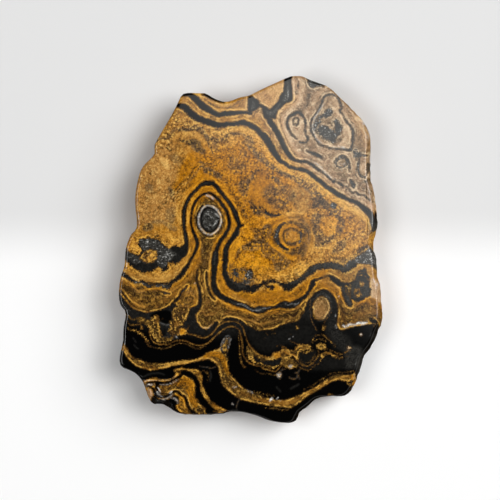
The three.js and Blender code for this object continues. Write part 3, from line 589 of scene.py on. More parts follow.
# Frayed brown streaks above and below the band.
vein(1.3, "508 783 12,16 4,16 4,12 2", bare=1)
vein(1.3, "532 816 14,16 1,16 2,12 1", bare=1, lamina=-.7)
vein(1, "608 779 10,18 -9,14 -9,14 -9,14 -6,20 -1,20 -3", bare=1, lamina=-.75)
patch(1.2, "706 746,20 -6,-4 16,-14 4", hue=-.5)
# The horn.
vein(.8, "442 693 8,2 -7,4 -6,5 -5,5 0,1 5,-1 9,-2 9,-2 10,1 12,2 12", bare=1, lamina=-.35)
vein(.8, "442 693 8,2 -7,4 -6,5 -5,5 0,1 5,-1 9,-2 9,-2 10", ash=.5)
patch(1.2, "444 692,5 -8,5 -6,3 4,-2 9,-3 11,-7 0", bare=1, lamina=-.92)
# Golden mottled field between the two lower lines.
patch(1.2, "501 699,10 5,10 5,6 4,8 0,8 0,3 -6,7 -4,6 0,4 -5,4 -4,7 4,8 3,8 -2,8 -4,4 9,-3 10,-3 6,-4 -1,"
      "-5 -5,-7 1,-8 3,-5 7,-4 4,-7 4,-6 4,-8 0,-10 -3,-10 -5,-11 -2,-9 -4,-7 -9,-2 -12,1 -11",
      bare=1, lamina=-.72)
vein(.6, "498 690 26,7 10 30,9 7 22,10 5,11 2 16,8 -1 12,3 -6,7 -3,6 0,4 -6,4 -4,7 4,8 3 14,8 -1 12,5 -6,"
     "2 -4 10,-8 -4,-6 -4 8", bare=1, lamina=-.1)
patch(1, "547 710,4 -4,7 0,3 5,-4 5,-7 1", lamina=.1, hue=1.3)
vein(.8, "536 730 16,8 -1,8 -2", lamina=-.3)
vein(.6, "569 711 8,4 4 10,9 -2 12,6 0,5 6,6 7,6 4 16,8 2,8 -2,6 -5,6 -8 14,5 -7,-1 -7 12,0 -5 10",
     bare=1, lamina=.35)
vein(.8, "572 702 13,6 5,8 2,8 6,4 5", bare=1, lamina=-.05)
vein(.8, "584 724 12,6 6,7 3,6 4,7 2,7 2,6 -4,6 -6,8 -5,6 -8,5 -5", bare=1, lamina=-.1)
vein(.7, "651 697 13,8 2,8 4,8 4,8 1,7 -3,7 -4,6 -4", bare=1, lamina=.45)
patch(1, "640 710,8 -5,6 -3,8 2,6 5,8 4,10 2,-6 3,-12 -3,-8 -4,-8 0,-8 6", bare=1, lamina=-.35)
patch(1, "694 693,4 -2,2 3,3 1,-2 5,-5 0", bare=1)
patch(1, "692 692,6 -3,2 5,5 0,-2 8,-8 1,-4 -4", hue=-.9, lamina=-.2)
vein(1, "688 713 10,8 0", bare=1, ash=.4)
patch(1.2, "568 723,6 -6,10 0,7 6,6 9,-7 4,-10 2,-9 -1,-4 -7", bare=1, lamina=-.45)
patch(1, "577 732,4 -2,4 2,-4 4", cream=.45)
vein(1, "509 738 10,6 5,8 4,14 1,13 2", bare=1, lamina=-.55)
patch(.7, "553 747,6 -3,5 4,-1 7,-5 2,-4 -4", bare=1, ash=.8)
patch(.8, "554 748,5 -2,3 3,-1 4,-3 2,-3 -3", cream=.5)
vein(.9, "560 743 14,5 -4,3 0", bare=1, ash=.5)
vein(.8, "579 755 12,8 3,7 -3,1 -7,2 -5,4 -5", "590 745 10,5 3,4 10", bare=1, ash=.8)
vein(1.2, "553 774 10,8 9", ash=.45)
vein(1.5, "582 777 15,15 -8", ash=.4)
# Olive loops left of them.
vein(.8, "554 693 10,6 -3,8 4", bare=1, lamina=-.4)
vein(.8, "580 682 10,10 4,6 6,-4 6", bare=1, lamina=-.35)
# The lower left ochre, with painted highlights: cream glints on the rough facets and pit edges of the chipped
# corner.
patch(.7, "276 768,10 -6,8 -3,11 -4,10 2,8 2,20 -2,4 -4,4 -7,-4 -4,3 -5,11 -2,16 2,13 0,8 2,5 7,3 11,-1 12,"
      "4 8,4 9,4 7,6 10,7 3,9 7,10 4,8 5,7 5,0 13,-21 -6,-9 -12,-9 -7,-8 -8,-6 -7,-5 -7,-5 -10,-1 -12,"
      "-3 -10,-7 -10,-9 -6,-11 -5,-5 2,-5 7,-8 7,-8 6,-8 4,-10 2,-12 1,-4 7,6 8,8 9,8 2,10 -4,4 -9,-6 5,"
      "-9 3,-8 -2,-7 -8,-1 -6,8 -4,14 -2,8 -5,9 -5,7 -3,6 -6,8 3,8 6,6 6,2 13,0 13,4 9,6 9,9 10,2 18,-20 0,"
      "-16 -4,-14 -5,-8 -5,-5 -10,7 -6,0 -12,-8 -2,-8 6,-10 2,-12 -2,-10 -6,-4 7,-4 7,-12 -10", bare=1)
patch(1.4, "276 768,10 -6,18 -6,12 2,2 10,-6 8,4 10,4 10,-16 6,-16 -6", hue=.35)
vein(.8, "286 764 14,9 -3,9 -2", lamina=.55)
# Painted highlights: short cream glints on the rough facets of the chipped lower-left corner.
vein(.4, "297 768 14,4 1,4 1", cream=.95)
vein(.6, "290 771 9,4 0", cream=.35)
patch(.6, "310 765,6 -2,8 0,5 1,-3 4,-10 2,-5 -1", ink=1)
vein(.5, "310 762 13,10 0,12 1,8 -1,9 -4,8 -5,6 -6", ink=1)
vein(.5, "315 759 9,15 0,13 -1,7 -4,4 -5", lamina=.35, ash=.55)
vein(.5, "320 765 8,10 0,7 -2,9 -2,11 -6", lamina=.5)
vein(.5, "353 742 12,6 2,4 -3", ink=1)
vein(.8, "352 740 14,9 -2,11 0", lamina=.3)
patch(1.4, "364 754,12 2,12 10,2 24,6 14,-4 12,-12 -12,-4 -16,-8 -12,-16 -4,-8 -4", hue=.8)
vein(1, "326 782 18,10 -1,9 -4", lamina=-.55)
# Painted highlight: a cream glint on the rim of the pit in the chipped corner.
vein(.3, "315 775 10,3 3,2 4,1 4", cream=.8)
vein(.5, "309 781 14,5 9 34,8 4 22,8 -2 14,8 -3 10,6 -4 12,6 -2 16,7 2,5 5,7 4 18,4 8 20,3 11 22,7 9,11 7",
     ink=1)
# Painted highlights: cream glints along the edges of the pit in the chipped corner.
vein(.4, "313 783 12,4 3,4 4,6 3", bare=1, cream=.95)
vein(.4, "339 787 13,3 -3,2 -2", cream=.9)
vein(.5, "320 798 11,7 1,8 -3,6 -4,4 -3", bare=1, cream=.4)
vein(.5, "320 798 10,7 1,8 -3,6 -4", ash=.4)
patch(.8, "304 800,8 -2,8 3,12 1,10 -5,7 10,3 9,8 8,12 6,-12 10,-40 -16,-20 -12", ink=1)
vein(1.2, "314 801 16,6 0,6 2", ash=.5)
# Painted highlight: cream glints below the pit in the chipped corner.
vein(.8, "343 796 19,6 1,5 4,2 5", bare=1, cream=.35)
patch(1.2, "350 788,10 4,8 6,4 12,4 12,-6 4,-6 -12,-8 -10,0 -8", lamina=-.45, hue=.5)
vein(.8, "378 796 12,3 12,7 11,12 8", lamina=-.5)
patch(.9, "396 818,6 -2,5 7,1 7,-8 0", lamina=.35)
patch(1, "405 813,5 0,1 5,-5 1", bare=1)
# The black line between the strips.
vein(.6, "363 743 10,6 1 14,6 4 18,8 5 20,8 8 24,4 10 30,1 12 36,2 10,6 9 40,7 8 44,6 7 40,7 8,8 7", ink=1)
vein(1.2, "418 804 20,12 8 40,12 8 50,14 6 30", hue=.9)
vein(.5, "407 787 9,4 -4", lamina=.5)
vein(1, "407 741 12,6 5,3 8,-1 10", bare=1, lamina=-.6)
vein(1, "420 742 12,2 10,-2 10", ash=.4)
vein(.6, "399 733 8,11 1,12 2,10 -2", bare=1, ash=.7)
vein(1, "288 753 12,12 -5,16 -2,12 3", ash=.35)
patch(1, "298 759,8 -5,8 2,-2 4", bare=1)
# Scraps on the lower rim.
vein(.6, "479 798 8,-5 11,-2 12", bare=1, ash=.75)
vein(.6, "464 807 12,2 2", bare=1, cream=.5)
vein(1, "460 825 18,12 2,14 3,14 3", bare=1, hue=-.7, lamina=-.45)
vein(.7, "528 835 12,4 4", bare=1, cream=.55)
vein(.8, "538 841 10,8 2", bare=1, lamina=-.5)
vein(1, "588 837 16,7 -5", ash=.5)
patch(.8, "643 798,5 -5,6 -2,4 -4,5 1,5 4,-4 6,-12 2", bare=1, lamina=-.2)
vein(.6, "645 795 11,6 -2", lamina=.4)
vein(1.2, "692 764 16,7 6,4 8", bare=1, lamina=-.75)
vein(1, "427 822 10,3 2", bare=1, lamina=.3)
vein(1, "400 828 16,10 -1,6 2", bare=1)
# Grey-brown clouds, bright grains and rings of the granular ground in the middle.
patch(2, "456 320,16 -6,12 10,6 12,-10 10,-16 0,-10 -12", ash=.45)
patch(1.5, "512 306,12 0,10 12,6 6,10 8,8 8,-14 -2,-12 -6,-8 -6,-10 -8", ash=.7)
patch(1.5, "492 360,10 -6,6 -6,0 10,-8 8,-2 12,-8 4,-8 -6,2 -10", ash=.8)
vein(.6, "500 362 12,8 -8,4 -9,6 -6", lamina=-.9)
patch(1.2, "478 380,8 -2,8 8,0 8,-10 -2", ash=.5)
patch(1.2, "500 402,8 0,6 10,10 4,8 6,8 10,-8 4,-10 -8,-10 0,-8 -6,-2 -10", ash=.85)
patch(1.4, "526 386,8 -4,10 -4,12 -2,12 0,12 2,8 4,2 12,-8 8,-8 4,-8 8,-12 2,-10 -6,-6 -10,-8 -6", ash=.85)
patch(1.2, "524 368,16 -2,6 8,-14 6,-8 -4", ash=.6)
patch(1, "542 354,10 0,10 8,-4 6,-12 -6", ash=.7)
patch(1.2, "562 338,12 8,12 4,14 2,8 6,10 2,12 8,10 12,6 14,14 12,4 10,-12 -2,-12 -2,-10 6,-6 -6,6 -12,"
      "-4 -14,-14 -6,-6 -10,-10 -6,-12 -8,-12 -2,-12 -8", ash=.85)
vein(.8, "584 380 20,3 8,-3 10", lamina=-.7)
vein(.7, "592 404 14,-4 6,4 6,6 -4", lamina=-.6)
patch(5, "588 368,20 4,16 12,8 28,24 12,-12 16,-32 -12,-20 -4", hue=.35)
patch(4, "564 420,36 4,36 36,54 10,54 -20,0 50,-54 24,-66 20,-32 -20,26 -34,-8 -34,-30 -16", hue=.3)
patch(1.2, "662 418,12 0,8 -4,6 6,-6 6,2 10,6 8,-4 20,-10 8,-10 2,-6 -6,10 -6,4 -12,-2 -14,-4 -6,-10 0",
      "626 428,10 -2,6 10,-2 12,2 14,4 12,16 0,8 6,-18 10,-14 8,-8 -6,0 -16,-6 -14,2 -14,-6 -8", ash=.85)
patch(1.4, "646 438,12 -4,14 2,2 14,-4 12,-4 8,-12 -2,-10 -10", lamina=.6, hue=.7)
# The bright margin below band two.
vein(1.5, "536 310 40,14 16 50,16 11,18 7,20 6 60,20 10 50,14 12 60,14 14 70,18 12,18 10,18 12 60,16 10,"
     "10 12 50,2 14 30", lamina=.7)
# The C of grey-brown round the yellow ground.
patch(1.2, "532 450,8 2,2 10,-6 10,-4 8,8 10,12 10,14 8,8 8,6 8,-4 10,-10 6,-10 4,-6 -6,-4 -12,-4 -10,-10 0,"
      "-8 -4,0 -8,-4 -4,-10 2,-14 0,-10 -2,-8 6,-4 -2,6 -10,12 -6,12 -6,4 -8,12 -2,6 -6,2 -10", ash=.85)
vein(.8, "530 458 20,5 -3 40,2 7 30", lamina=-.9)
patch(1.5, "480 512,16 -4,16 4,12 12,12 4,8 8,-20 4,-24 -4,-20 -2,-12 -6", lamina=.55)
patch(1.5, "512 540,12 -2,16 6,12 4,16 -8,20 -12,12 -4,24 0,-12 16,-20 12,-20 6,-32 -4,-20 6,-8 -8",
      lamina=.5)
patch(1.2, "508 494,8 -3,6 5,-2 6,-8 2,-5 -4", lamina=.8)
patch(2, "484 458,12 -2,8 8,0 10,-12 2,-8 -6", lamina=.5)
patch(1.6, "462 536,14 0,16 2,14 6,4 10,6 8,-16 6,-20 -2,-14 -10,-8 -12", ash=.9)
patch(2.2, "490 544,6 -3,6 3,1 6,-5 5,-6 -3", "466 540,6 -2,4 6,2 8,-6 2,-6 -6", "488 558,8 0,4 6,-8 4,-8 -4",
      ink=1)
patch(1, "588 540,8 -2,6 8,-4 8,-8 -4", ash=.8)
# The second ringed column.
vein(.8, "558 494 20,-7 -10 30,-2 -12 34,4 -14,11 -9 30,16 -4 24,16 1 26,14 10 30,8 14,-1 16,-9 14 34,-16 7,"
     "-16 -2 30,-14 -8 20", ash=.9)
vein(.8, "556 492 28,-5 -12,1 -12,4 -10", lamina=-.7)
vein(.7, "572 505 20,14 2 24,16 -2 30,8 -7 20", lamina=-.5)
vein(.5, "567 476 14,2 -12,9 -7,14 0,11 7,3 12,-5 12,-13 4,-13 -3,-7 -9", lamina=-.9)
vein(1, "573 476 20,2 -10 24,9 -5 20,12 2 40,5 11 44,-5 10 36,-12 3 24,-7 -4 20", ash=.9)
patch(1.5, "578 468,8 -3,6 5,0 10,-8 3,-6 -5", hue=.5)
# Worm-like cream grains and the slate corner on the right.
patch(3, "606 504,18 -16,24 6,20 -14,24 -16,12 -12,-4 24,-10 24,-18 14,-32 4,-28 2", lamina=.3)
patch(1, "676 484,10 -2,4 6,-4 8,-4 6,-12 5,-6 -3,8 -8", ash=.9)
patch(1, "702 519,12 -15,14 -9,8 -6,8 7,6 16,-6 10,-20 -3,-12 -1", ash=.95)
patch(1, "666 520,18 -1,16 -3,4 6,-8 10,-10 0,-12 -4", ash=.8)
patch(1.5, "702 519,12 -15,14 -9,8 -6,8 7,6 16,-6 10,-20 -3", lamina=-.35)
patch(1, "736 444,6 0,4 16,2 12,-8 -8,-4 -8", ash=.8)
# Laminae and clouds of the paler upper right.
patch(3, "572 160,38 -4,80 34,46 60,8 70,8 90,-28 6,-44 -32,-44 -32,-44 -20,-24 -32,-16 -50,8 -26", grain=.4)
patch(1.5, "608 162,10 2,8 14,-4 16,0 14,-8 12,4 20,2 24,2 18,-6 4,2 -18,-6 -20,0 -16,-6 -8,-8 -4,-12 4,"
      "6 -6,12 -10,4 -16", ash=.6)
patch(1, "616 156,16 8,16 8,-8 4,-12 2,-10 -4", ash=.9)
patch(.7, "616 156,14 5,14 7,6 5,-14 -1,-10 3,-7 -5", ink=1)
vein(.6, "593 160 13,2 12,-3 12,-3 8", lamina=-.6)
vein(.8, "576 300 16,-8 -14,-6 -16,-6 -18,2 -14,8 -10,10 -8,8 -8", ash=.6)
vein(.8, "566 234 21,2 14,4 14,4 14,6 12,8 10,10 8", lamina=.5)
patch(1.5, "596 282,12 4,10 -2,0 10,-6 8,-12 -2,-8 -8", ash=.7)
patch(1.5, "646 194,10 -5,12 1,8 10,-2 8,-10 -6,-12 4,-6 8", ash=.6)
vein(.4, "649 206 11,-7 10,-7 11,-7 10,-2 11,0 11,4 11,6 10,8 7", cream=.55)
vein(.8, "658 208 28,8 7,6 7,4 6", lamina=.7)
patch(1.2, "686 252,10 -2,8 10,2 16,-4 16,-14 2,-12 -3,8 -9,8 -8,-6 -8", lamina=.4)
vein(.5, "664 294 16,12 -1,12 2,12 -1", cream=.4)
vein(.5, "642 251 13,8 -2,8 2,4 7,8 4", lamina=.7)
vein(.8, "640 248 10,10 -2 16,8 3 20,6 -7 24,6 -4 20", "662 254 12,6 6,4 6", bare=1)
patch(1.5, "706 256,8 4,4 20,8 18,8 8,-2 8,-18 2,-10 -14,2 -18", ash=.75)
patch(2, "680 198,12 10,8 16,4 16,-6 4,-10 -12,-6 -16", ash=.45)
patch(3, "686 196,18 20,22 26,10 26,2 42,-14 -10,-8 -24,-4 -24,-12 -16", hue=-.7)
vein(.8, "714 244 15,10 16,6 20,2 20", "706 236 14,10 20,6 20", ash=.4)
patch(1, "668 316,12 -7,12 3,6 12,-2 12,-4 12,6 8,-12 2,-10 -6,-8 -12,-2 -14", ash=.85)
patch(1, "676 320,8 -3,7 3,1 8,-6 6,-10 -2,-3 -6", bare=1)
vein(.5, "680 327 12,6 2,4 -3", cream=.35)
vein(.8, "706 300 30,7 14 28,2 14 26,2 12 28,6 11 26,9 4 22,5 11 16", ash=.85)
vein(.7, "706 300 20,7 14,2 14,2 12,6 11,9 4", lamina=-.55)
patch(1.2, "722 328,6 -8,8 4,2 16,-4 10,-8 -6", ash=.5)
vein(.5, "626 324 14,10 5,8 8,8 9,8 7,10 6", cream=.4)
vein(1, "606 344 12,18 -2,20 14,24 18,24 16", ash=.5)
# Painted highlight: a cream line along the right rim where the polished edge catches the light. Beside it, a
# black line paints the unlit wall below the rim as shade.
vein(.5, "725 241 10,5 11 16,4 12 20,4 14 18,2 14 16,-1 14,-1 14 22,3 12 16,0 16,1 14,3 14,4 14,2 16,1 18,"
     "1 18 12,-1 16", cream=.9)
vein(.4, "722 235 8,9 6 18,5 9 26,4 10 22,3 10 16,2 10 12,-1 12 8", ink=1)
# The mottled black cell at the left rim.
patch(.9, "280 479,16 -2,18 1,10 8,12 10,16 2,16 -6,4 12,-8 10,-12 10,-8 -7,-10 7,2 12,-8 6,-10 -9,-8 5,"
      "-8 6,-20 -2,-18 -9,-14 -17,2 -14,10 4,16 4,6 -10,-6 -10", ink=1)
patch(1, "286 506,8 -6,12 -1,8 7,0 10,-8 8,-10 2,-12 -4,-4 -7", bare=1, ash=.55)
patch(.8, "294 514,6 -4,7 -6,2 6,-5 8,-5 4,-4 -2", lamina=.6)
patch(1.2, "278 480,22 -2,16 4,10 10,14 6,6 12,-8 14,-12 12,-12 -12,2 -16,-12 -12,-16 4,-6 -8", ash=.8)
patch(1, "250 500,12 8,14 6,6 10,-10 4,-14 -10", ash=.7)
# Laminae of the lens-shaped band at the left rim.
patch(2, "242 560,18 6,12 10,20 6,24 0,20 3,-4 9,-28 4,-24 0,-20 -8,-18 -14", ash=.55)
vein(.4, "258 563 14,8 8,7 9,9 3,10 -3,12 -3,12 0,10 5,12 2,12 -6,14 -10", lamina=.9)
vein(.5, "242 569 15,10 8,10 9,10 6,10 3,12 1", lamina=-.9)
vein(.5, "241 580 13,9 11,10 9,12 8", lamina=-.8)
vein(.4, "316 581 10,10 5,12 1", lamina=-.9)
patch(1, "262 607,12 7,18 4,20 -5,16 -6,16 -5,-8 11,-16 7,-20 3,-20 -4", lamina=-.35)
vein(.4, "248 588 8,12 11 12,10 7 16,8 5 18,8 2,10 -1 16,8 -3 12,8 -1,6 -3,8 -3 14,10 -1,8 -5 12,10 -7 8",
     lamina=1)
vein(.4, "262 612 11,16 8,14 4,8 1,12 -4,12 -2,12 -5", lamina=.8)
# The olive lobes beside it.
patch(1.5, "372 574,10 -3,8 9,2 20,-6 14,-14 2,-12 -6,-2 -10,6 -16", ash=.6)
patch(2, "364 580,20 -8,8 20,-4 20,-20 2,-10 -14", hue=.6)
vein(.4, "385 569 11,6 5,3 8,1 12,-2 12", lamina=.8)
patch(.7, "383 604,4 -4,3 5,-3 7,-4 -1", lamina=.6)
patch(1.5, "348 618,16 4,10 6,-2 12,-12 2,-10 -8", ash=.5)
patch(1.5, "344 618,30 4,4 18,-4 32,-34 2,-36 2,-8 -32,16 -14,28 14", grain=.8)
patch(1.5, "300 636,14 0,0 20,6 16,24 -4,12 8,-26 4,-18 -8,-10 -18", ash=.35)
vein(.4, "310 633 13,5 7,1 10,2 9,3 7,4 5", lamina=1)
patch(1, "316 622,24 0,2 18,-10 8,-16 -4,-16 -12", ash=0)
# Threads and clouds in the stem under the ringed column.
vein(1, "404 496 30,4 12 40,1 12,-3 12 34,-3 8 20", ash=.75)
vein(.5, "399 476 12,8 9,5 9", "438 472 12,-10 12,-8 12", lamina=-.7)
vein(.8, "414 488 20,5 12,-1 14", lamina=-.5)
vein(.8, "405 538 30,3 8,1 10", ash=.8)
vein(.4, "429 487 13,-6 13,-3 14,-1 16,-1 16,0 14,2 12,3 10,4 8", lamina=.9)
vein(.4, "412 544 13,2 12,1 12,2 10,4 10,7 10", lamina=-1)
vein(.4, "407 560 10,4 14,2 12,4 14", lamina=-.8)
vein(.5, "403 552 18,3 16,3 14", lamina=.6)
patch(1.2, "454 524,10 8,12 8,10 10,-4 12,-12 4,-10 -8,-6 -16", ash=.6)
patch(1, "453 524,7 8,3 12,9 18,-8 -2,-8 -16", lamina=.4)
patch(2, "462 492,10 -12,12 -2,2 12,-10 10,-4 12,-4 14,-8 -2,-1 -16", lamina=.7)
# Threads of the third band and of the thin lines under it.
vein(.5, "428 592 16,16 12,12 8,16 5,14 3,14 4,12 5", lamina=1)
vein(.5, "456 629 15,16 5,16 4,16 4,12 5,12 -1,14 -6", lamina=.9)
vein(.8, "444 612 24,16 9,20 6,20 7", "524 654 22,16 -4,14 -6,14 -2", lamina=-.5)
patch(1.5, "398 636,12 -4,14 2,6 8,-10 12,-14 0,-8 -8", ash=.6)
vein(.4, "408 624 13,5 8,5 -3,8 0,8 -4", lamina=1)
vein(.4, "402 653 10,8 3,8 -1,5 -6", cream=.2)
vein(.5, "390 673 13,16 3,12 -4,10 -8,10 -8,10 -8,10 -3,14 1,8 4,6 8,4 10,4 12,6 12,8 8", "360 680 12,12 4,"
     "14 6,14 1,10 -1,10 -5,12 -11,10 -10,10 -7,10 -3,10 2,7 6,2 12,2 14,2 12,1 10,6 8,8 8,12 6,12 5,16 4,"
     "12 -3,10 -8,6 -12", lamina=.9)
# Shades in the black ground, the oval and the knotted seam at the lower right.
patch(5, "500 662,40 4,40 -14,32 -8,20 16,-8 24,-28 4,-26 2,-30 14,-24 -6,-16 -18", ash=.12)
patch(4, "666 632,12 28,12 16,14 16,-4 16,-20 -12,-16 -20,-10 -16", ash=.28)
patch(1.2, "636 592,14 -1,12 15,2 16,-10 16,-16 4,-10 -10,-3 -20", ash=.45, hue=-.3)
vein(.8, "634 622 12,6 5,6 -1,5 -8,-5 -8", lamina=-.7)
vein(.5, "626 608 16,-2 12,3 12,7 8", lamina=-.8)
vein(.6, "628 600 12,8 -7,10 -2", lamina=.6)
patch(1.2, "500 705,12 9,14 5,14 0,14 -2,12 -1,-4 12,-10 6,-16 -3,-16 -4,-14 -3,-8 -10", lamina=-1)
patch(.9, "508 713,16 8,20 0,18 -4,-4 11,-14 4,-20 -6,-12 -3", ink=.8)
patch(1.2, "598 702,14 4,12 -6,10 4,-8 12,-8 11,-12 0,-10 -9", lamina=-1, ash=.1)
patch(.9, "600 705,12 3,12 -5,7 1,-7 12,-9 9,-11 -3,-6 -8", ink=.8)
patch(1.2, "500 705,12 9,28 5,26 -3,-14 18,-32 -7,-22 -13", ash=.15)
vein(.5, "500 694 14,12 9 18,10 7 20,8 5 14,12 -3 12,4 -7,8 -3,10 1 10", lamina=.8)
patch(.8, "546 712,4 -6,6 -1,4 5,-5 6,-7 1", lamina=.4)
vein(.5, "562 695 12,8 -2,8 7,8 2,8 -5,3 -6,-7 -7", lamina=.8)
vein(.5, "568 704 14,10 4,10 2,6 8,6 8,8 5,10 0,6 -7,6 -8,8 -6,12 -6,16 6,18 4", lamina=.9)
vein(.5, "610 738 12,10 -2,8 -6,8 -4", lamina=.7)
# The lowest golden band: dark and frayed above a bright core.
patch(1.2, "486 766,18 10,28 8,36 4,28 -8,28 -14,28 -14,28 -8,32 -2,0 8,-28 4,-28 9,-32 15,-24 14,-32 8,"
      "-40 -3,-28 -7,-20 -12", lamina=-.6)
vein(1, "480 782 30,20 12,24 6,36 4,28 -4,18 -8,18 -11,20 -10,24 -12,24 -5,22 0", lamina=.45)
patch(1, "418 416,10 4,8 12,0 14,-7 12,-9 4,-10 -4,-7 -12,0 -14,7 -12", grain=1)
# Grey core of the oval at the upper right, and the paler bands round it.
patch(1.5, "644 220,16 -6,8 12,4 10,14 12,-2 16,-2 16,-12 6,-18 -2,-14 -12,-4 -20,2 -20", ash=.85)
vein(.8, "598 158 20,8 10 40,-2 16 50,-6 18,-10 12 40,-12 10 30,-8 12,0 16,8 18,10 18,14 12", lamina=.6)
vein(.5, "582 158 14,4 10 20,2 12 16,-3 14 14,-5 12,-12 12,-10 10 16,-2 14,4 16,6 16 14,8 14", lamina=.8)
patch(1.2, "688 252,10 2,4 12,-2 16,-10 10,-10 -4,8 -12", lamina=.7)
vein(.8, "710 224 30,10 16,8 20,4 20", lamina=.5)
# Clouds and streaks of the granular ground at the upper left.
patch(4, "270 330,30 -34,40 4,30 16,-18 54,-8 40,12 58,-76 8,-22 -66", grain=.6)
patch(4, "274 330,26 -26,40 4,20 16,-12 46,-8 40,14 54,-70 8,-22 -62", lamina=.05)
patch(2, "348 268,12 -6,20 0,20 2,12 12,8 16,-4 12,-16 8,-24 -6,-20 -2,-12 -16", grain=.5)
vein(1, "320 278 20,8 -2 30,8 -2,6 -8 24,6 -6,10 -2,14 2 30,12 -4 40,12 0 50,10 6 40,6 10 34,6 12,4 12 30,"
     "4 10 20", ash=.85)
vein(.8, "344 264 14,8 -4 16,20 1 12,16 -3 16,16 8 20,12 16 14", lamina=-.5)
vein(1, "352 272 30,12 -6,16 0,16 4,10 10,6 12,4 10", lamina=.4)
vein(.7, "358 282 14,10 2,10 2,8 -4,10 -2", lamina=-.7)
patch(1.2, "378 284,12 -4,10 2,2 10,10 8,-6 8,-12 -4,-10 -6", ash=.85)
vein(.6, "324 298 12,6 -4,6 4,8 1,8 -3", "320 308 12,6 4,10 0", lamina=-.7)
patch(1.5, "318 312,8 2,10 6,2 12,-8 4,-8 -10", lamina=.7)
patch(1.5, "340 310,16 0,8 10,-4 14,-10 -8,-8 -6", ash=.55)
patch(2.5, "380 306,26 8,-4 8,-10 12,-12 12,-14 16,-14 18,-6 -4,10 -20,4 -20,12 -20", hue=1, grain=.55)
vein(.6, "400 326 13,-10 12,-10 12,-12 12,-12 12,-12 16,-6 16", lamina=-.75)
vein(.8, "412 326 23,-12 10,-8 10,-8 10,-12 12", ash=.7)
vein(.6, "384 366 14,-12 12,-10 10,-14 14", lamina=-.55)
vein(.7, "408 354 14,-12 6 16,-10 12 20,-12 10,-10 14,-8 16,-2 16 24,2 16 26,0 20 24", lamina=.5)
patch(1, "400 322,8 4,0 8,-8 4,-2 -8", ash=.85)
patch(1.2, "410 336,10 0,12 6,12 10,-8 6,-16 -10,-12 -2", ash=.9)
patch(1, "412 338,10 2,12 8,-6 2,-16 -6", lamina=-.45)
patch(2, "416 282,16 0,8 12,-6 12,-12 -6", ash=.5)
vein(1.5, "412 250 30,12 12 50,16 6,16 -8,16 -2 40,16 2 50,16 8,10 10,8 12,10 14 40", lamina=.6)
vein(1, "418 274 20,12 4 30,10 2,12 -8 24,10 -6,12 2,8 -2 20,10 8 30,10 10 60,-2 10 40", ash=.75)
patch(1.2, "480 298,12 2,0 14,-10 2", ash=.5)
patch(1.2, "290 372,8 -6,8 8,-4 10,-10 -2", ash=.85)
patch(.9, "336 374,6 0,6 10,-4 10,-6 -6", ash=.95)
vein(.6, "340 380 14,3 8 16,-9 4 10,-2 8 14,0 8 10", lamina=-.8)
vein(1.2, "304 444 20,10 0 40,12 0,12 8 50,12 6", ash=.8)
patch(1.5, "336 416,12 0,2 20,-6 12,-12 -8,-2 -12", ash=.65)
patch(1, "286 452,10 -6,10 4,0 8,-12 4,-8 -4", ash=1)
patch(1, "286 452,10 -4,8 4,-2 6,-8 2,-8 -2", lamina=-.6)
patch(1.2, "312 360,12 -2,6 10,-6 10,-8 -4", lamina=.6)
# The golden mottled mass between the olive lobe and the thin lines.
patch(1.2, "344 622,10 -10,18 4,-2 10,4 8,-6 10,-8 8,14 8,-2 8,-12 4,-12 -2,-10 -4,-4 -8,6 -8,0 -8,8 -6",
      bare=1)
patch(1.5, "340 616,40 -4,0 60,-44 2,-4 -30", grain=.9)
patch(1.5, "344 622,28 -6,2 20,-8 10,6 22,-28 4,-12 -16", lamina=-.45)
patch(1.5, "344 652,16 2,-4 20,-20 0,-2 -14", ash=.3)
patch(1, "346 644,12 -2,2 8,-10 4", lamina=.35)
patch(1, "360 658,12 0,0 8,-12 0", lamina=.3)
vein(.4, "340 623 10,8 4,-2 7,6 6", lamina=.9)
vein(.4, "370 624 12,4 8,-3 8", lamina=.8)
vein(.4, "372 659 8,5 -4,3 -5", lamina=.8, bare=1)
patch(1, "320 648,6 -4,10 2,3 10,-7 8,-8 0,-4 -8", ink=.95)
vein(.4, "352 673 12,2 2", cream=.8)
vein(.8, "318 644 10,7 3,7 3,7 -1", cream=.12)
# Pale lines just inside the rings of the column.
vein(.4, "453 448 9,-2 12,-5 8,-6 8,-7 8", lamina=.8)
vein(.4, "387 460 10,4 9,6 8,6 7", lamina=.7)
vein(.5, "399 378 10,9 -4,10 -2,10 3,8 7,8 10,10 16", "387 388 10,-7 10,-5 12,-2 14,0 20,2 20", lamina=.5)
vein(.5, "442 374 12,10 10,8 10,7 12,7 14,6 14", lamina=.6)
vein(.5, "400 363 12,-10 8,-11 10,-9 13,-8 16,-2 18", lamina=.5)
vein(.6, "426 367 14,-20 1,-16 14,-15 20,-7 24,0 30,4 24", "435 376 13,13 16,13 17,10 19,6 17", ash=.45)
vein(.6, "417 386 8,-17 7,-11 14,-6 21", ash=.3)
vein(.6, "431 394 12,12 13,11 17", ash=.4)
# The smooth golden kite in the middle, the tan ground beside it and the grey-brown belt under band two.
patch(2, "518 342,14 12,10 16,-10 12,-4 14,10 16,20 12,-14 6,-20 -8,-20 -16,-8 -16,4 -18,8 -16",
      grain=.4, ash=0)
patch(2, "518 344,12 12,6 14,-10 14,-2 14,8 16,-22 -10,-10 -14,4 -22", lamina=.15)
vein(.8, "514 336 15,-7 12,-7 12,-6 14,-4 10", lamina=-.6)
patch(1.2, "478 364,12 -2,8 8,-4 14,-8 8,-8 -12", ash=.8)
vein(.8, "524 340 18,14 12,14 10,8 10", lamina=-.4)
patch(3, "580 372,20 2,16 10,6 18,-6 22,-16 4,-14 -6,-6 -22", grain=.5)
patch(3, "584 376,18 2,14 10,4 18,-8 18,-18 0,-8 -20", hue=0)
vein(1.2, "492 282 40,12 16 50,16 16,20 16 40,20 12 50,20 10,18 10,18 14 60,14 16 70,10 18 50", ash=.9)
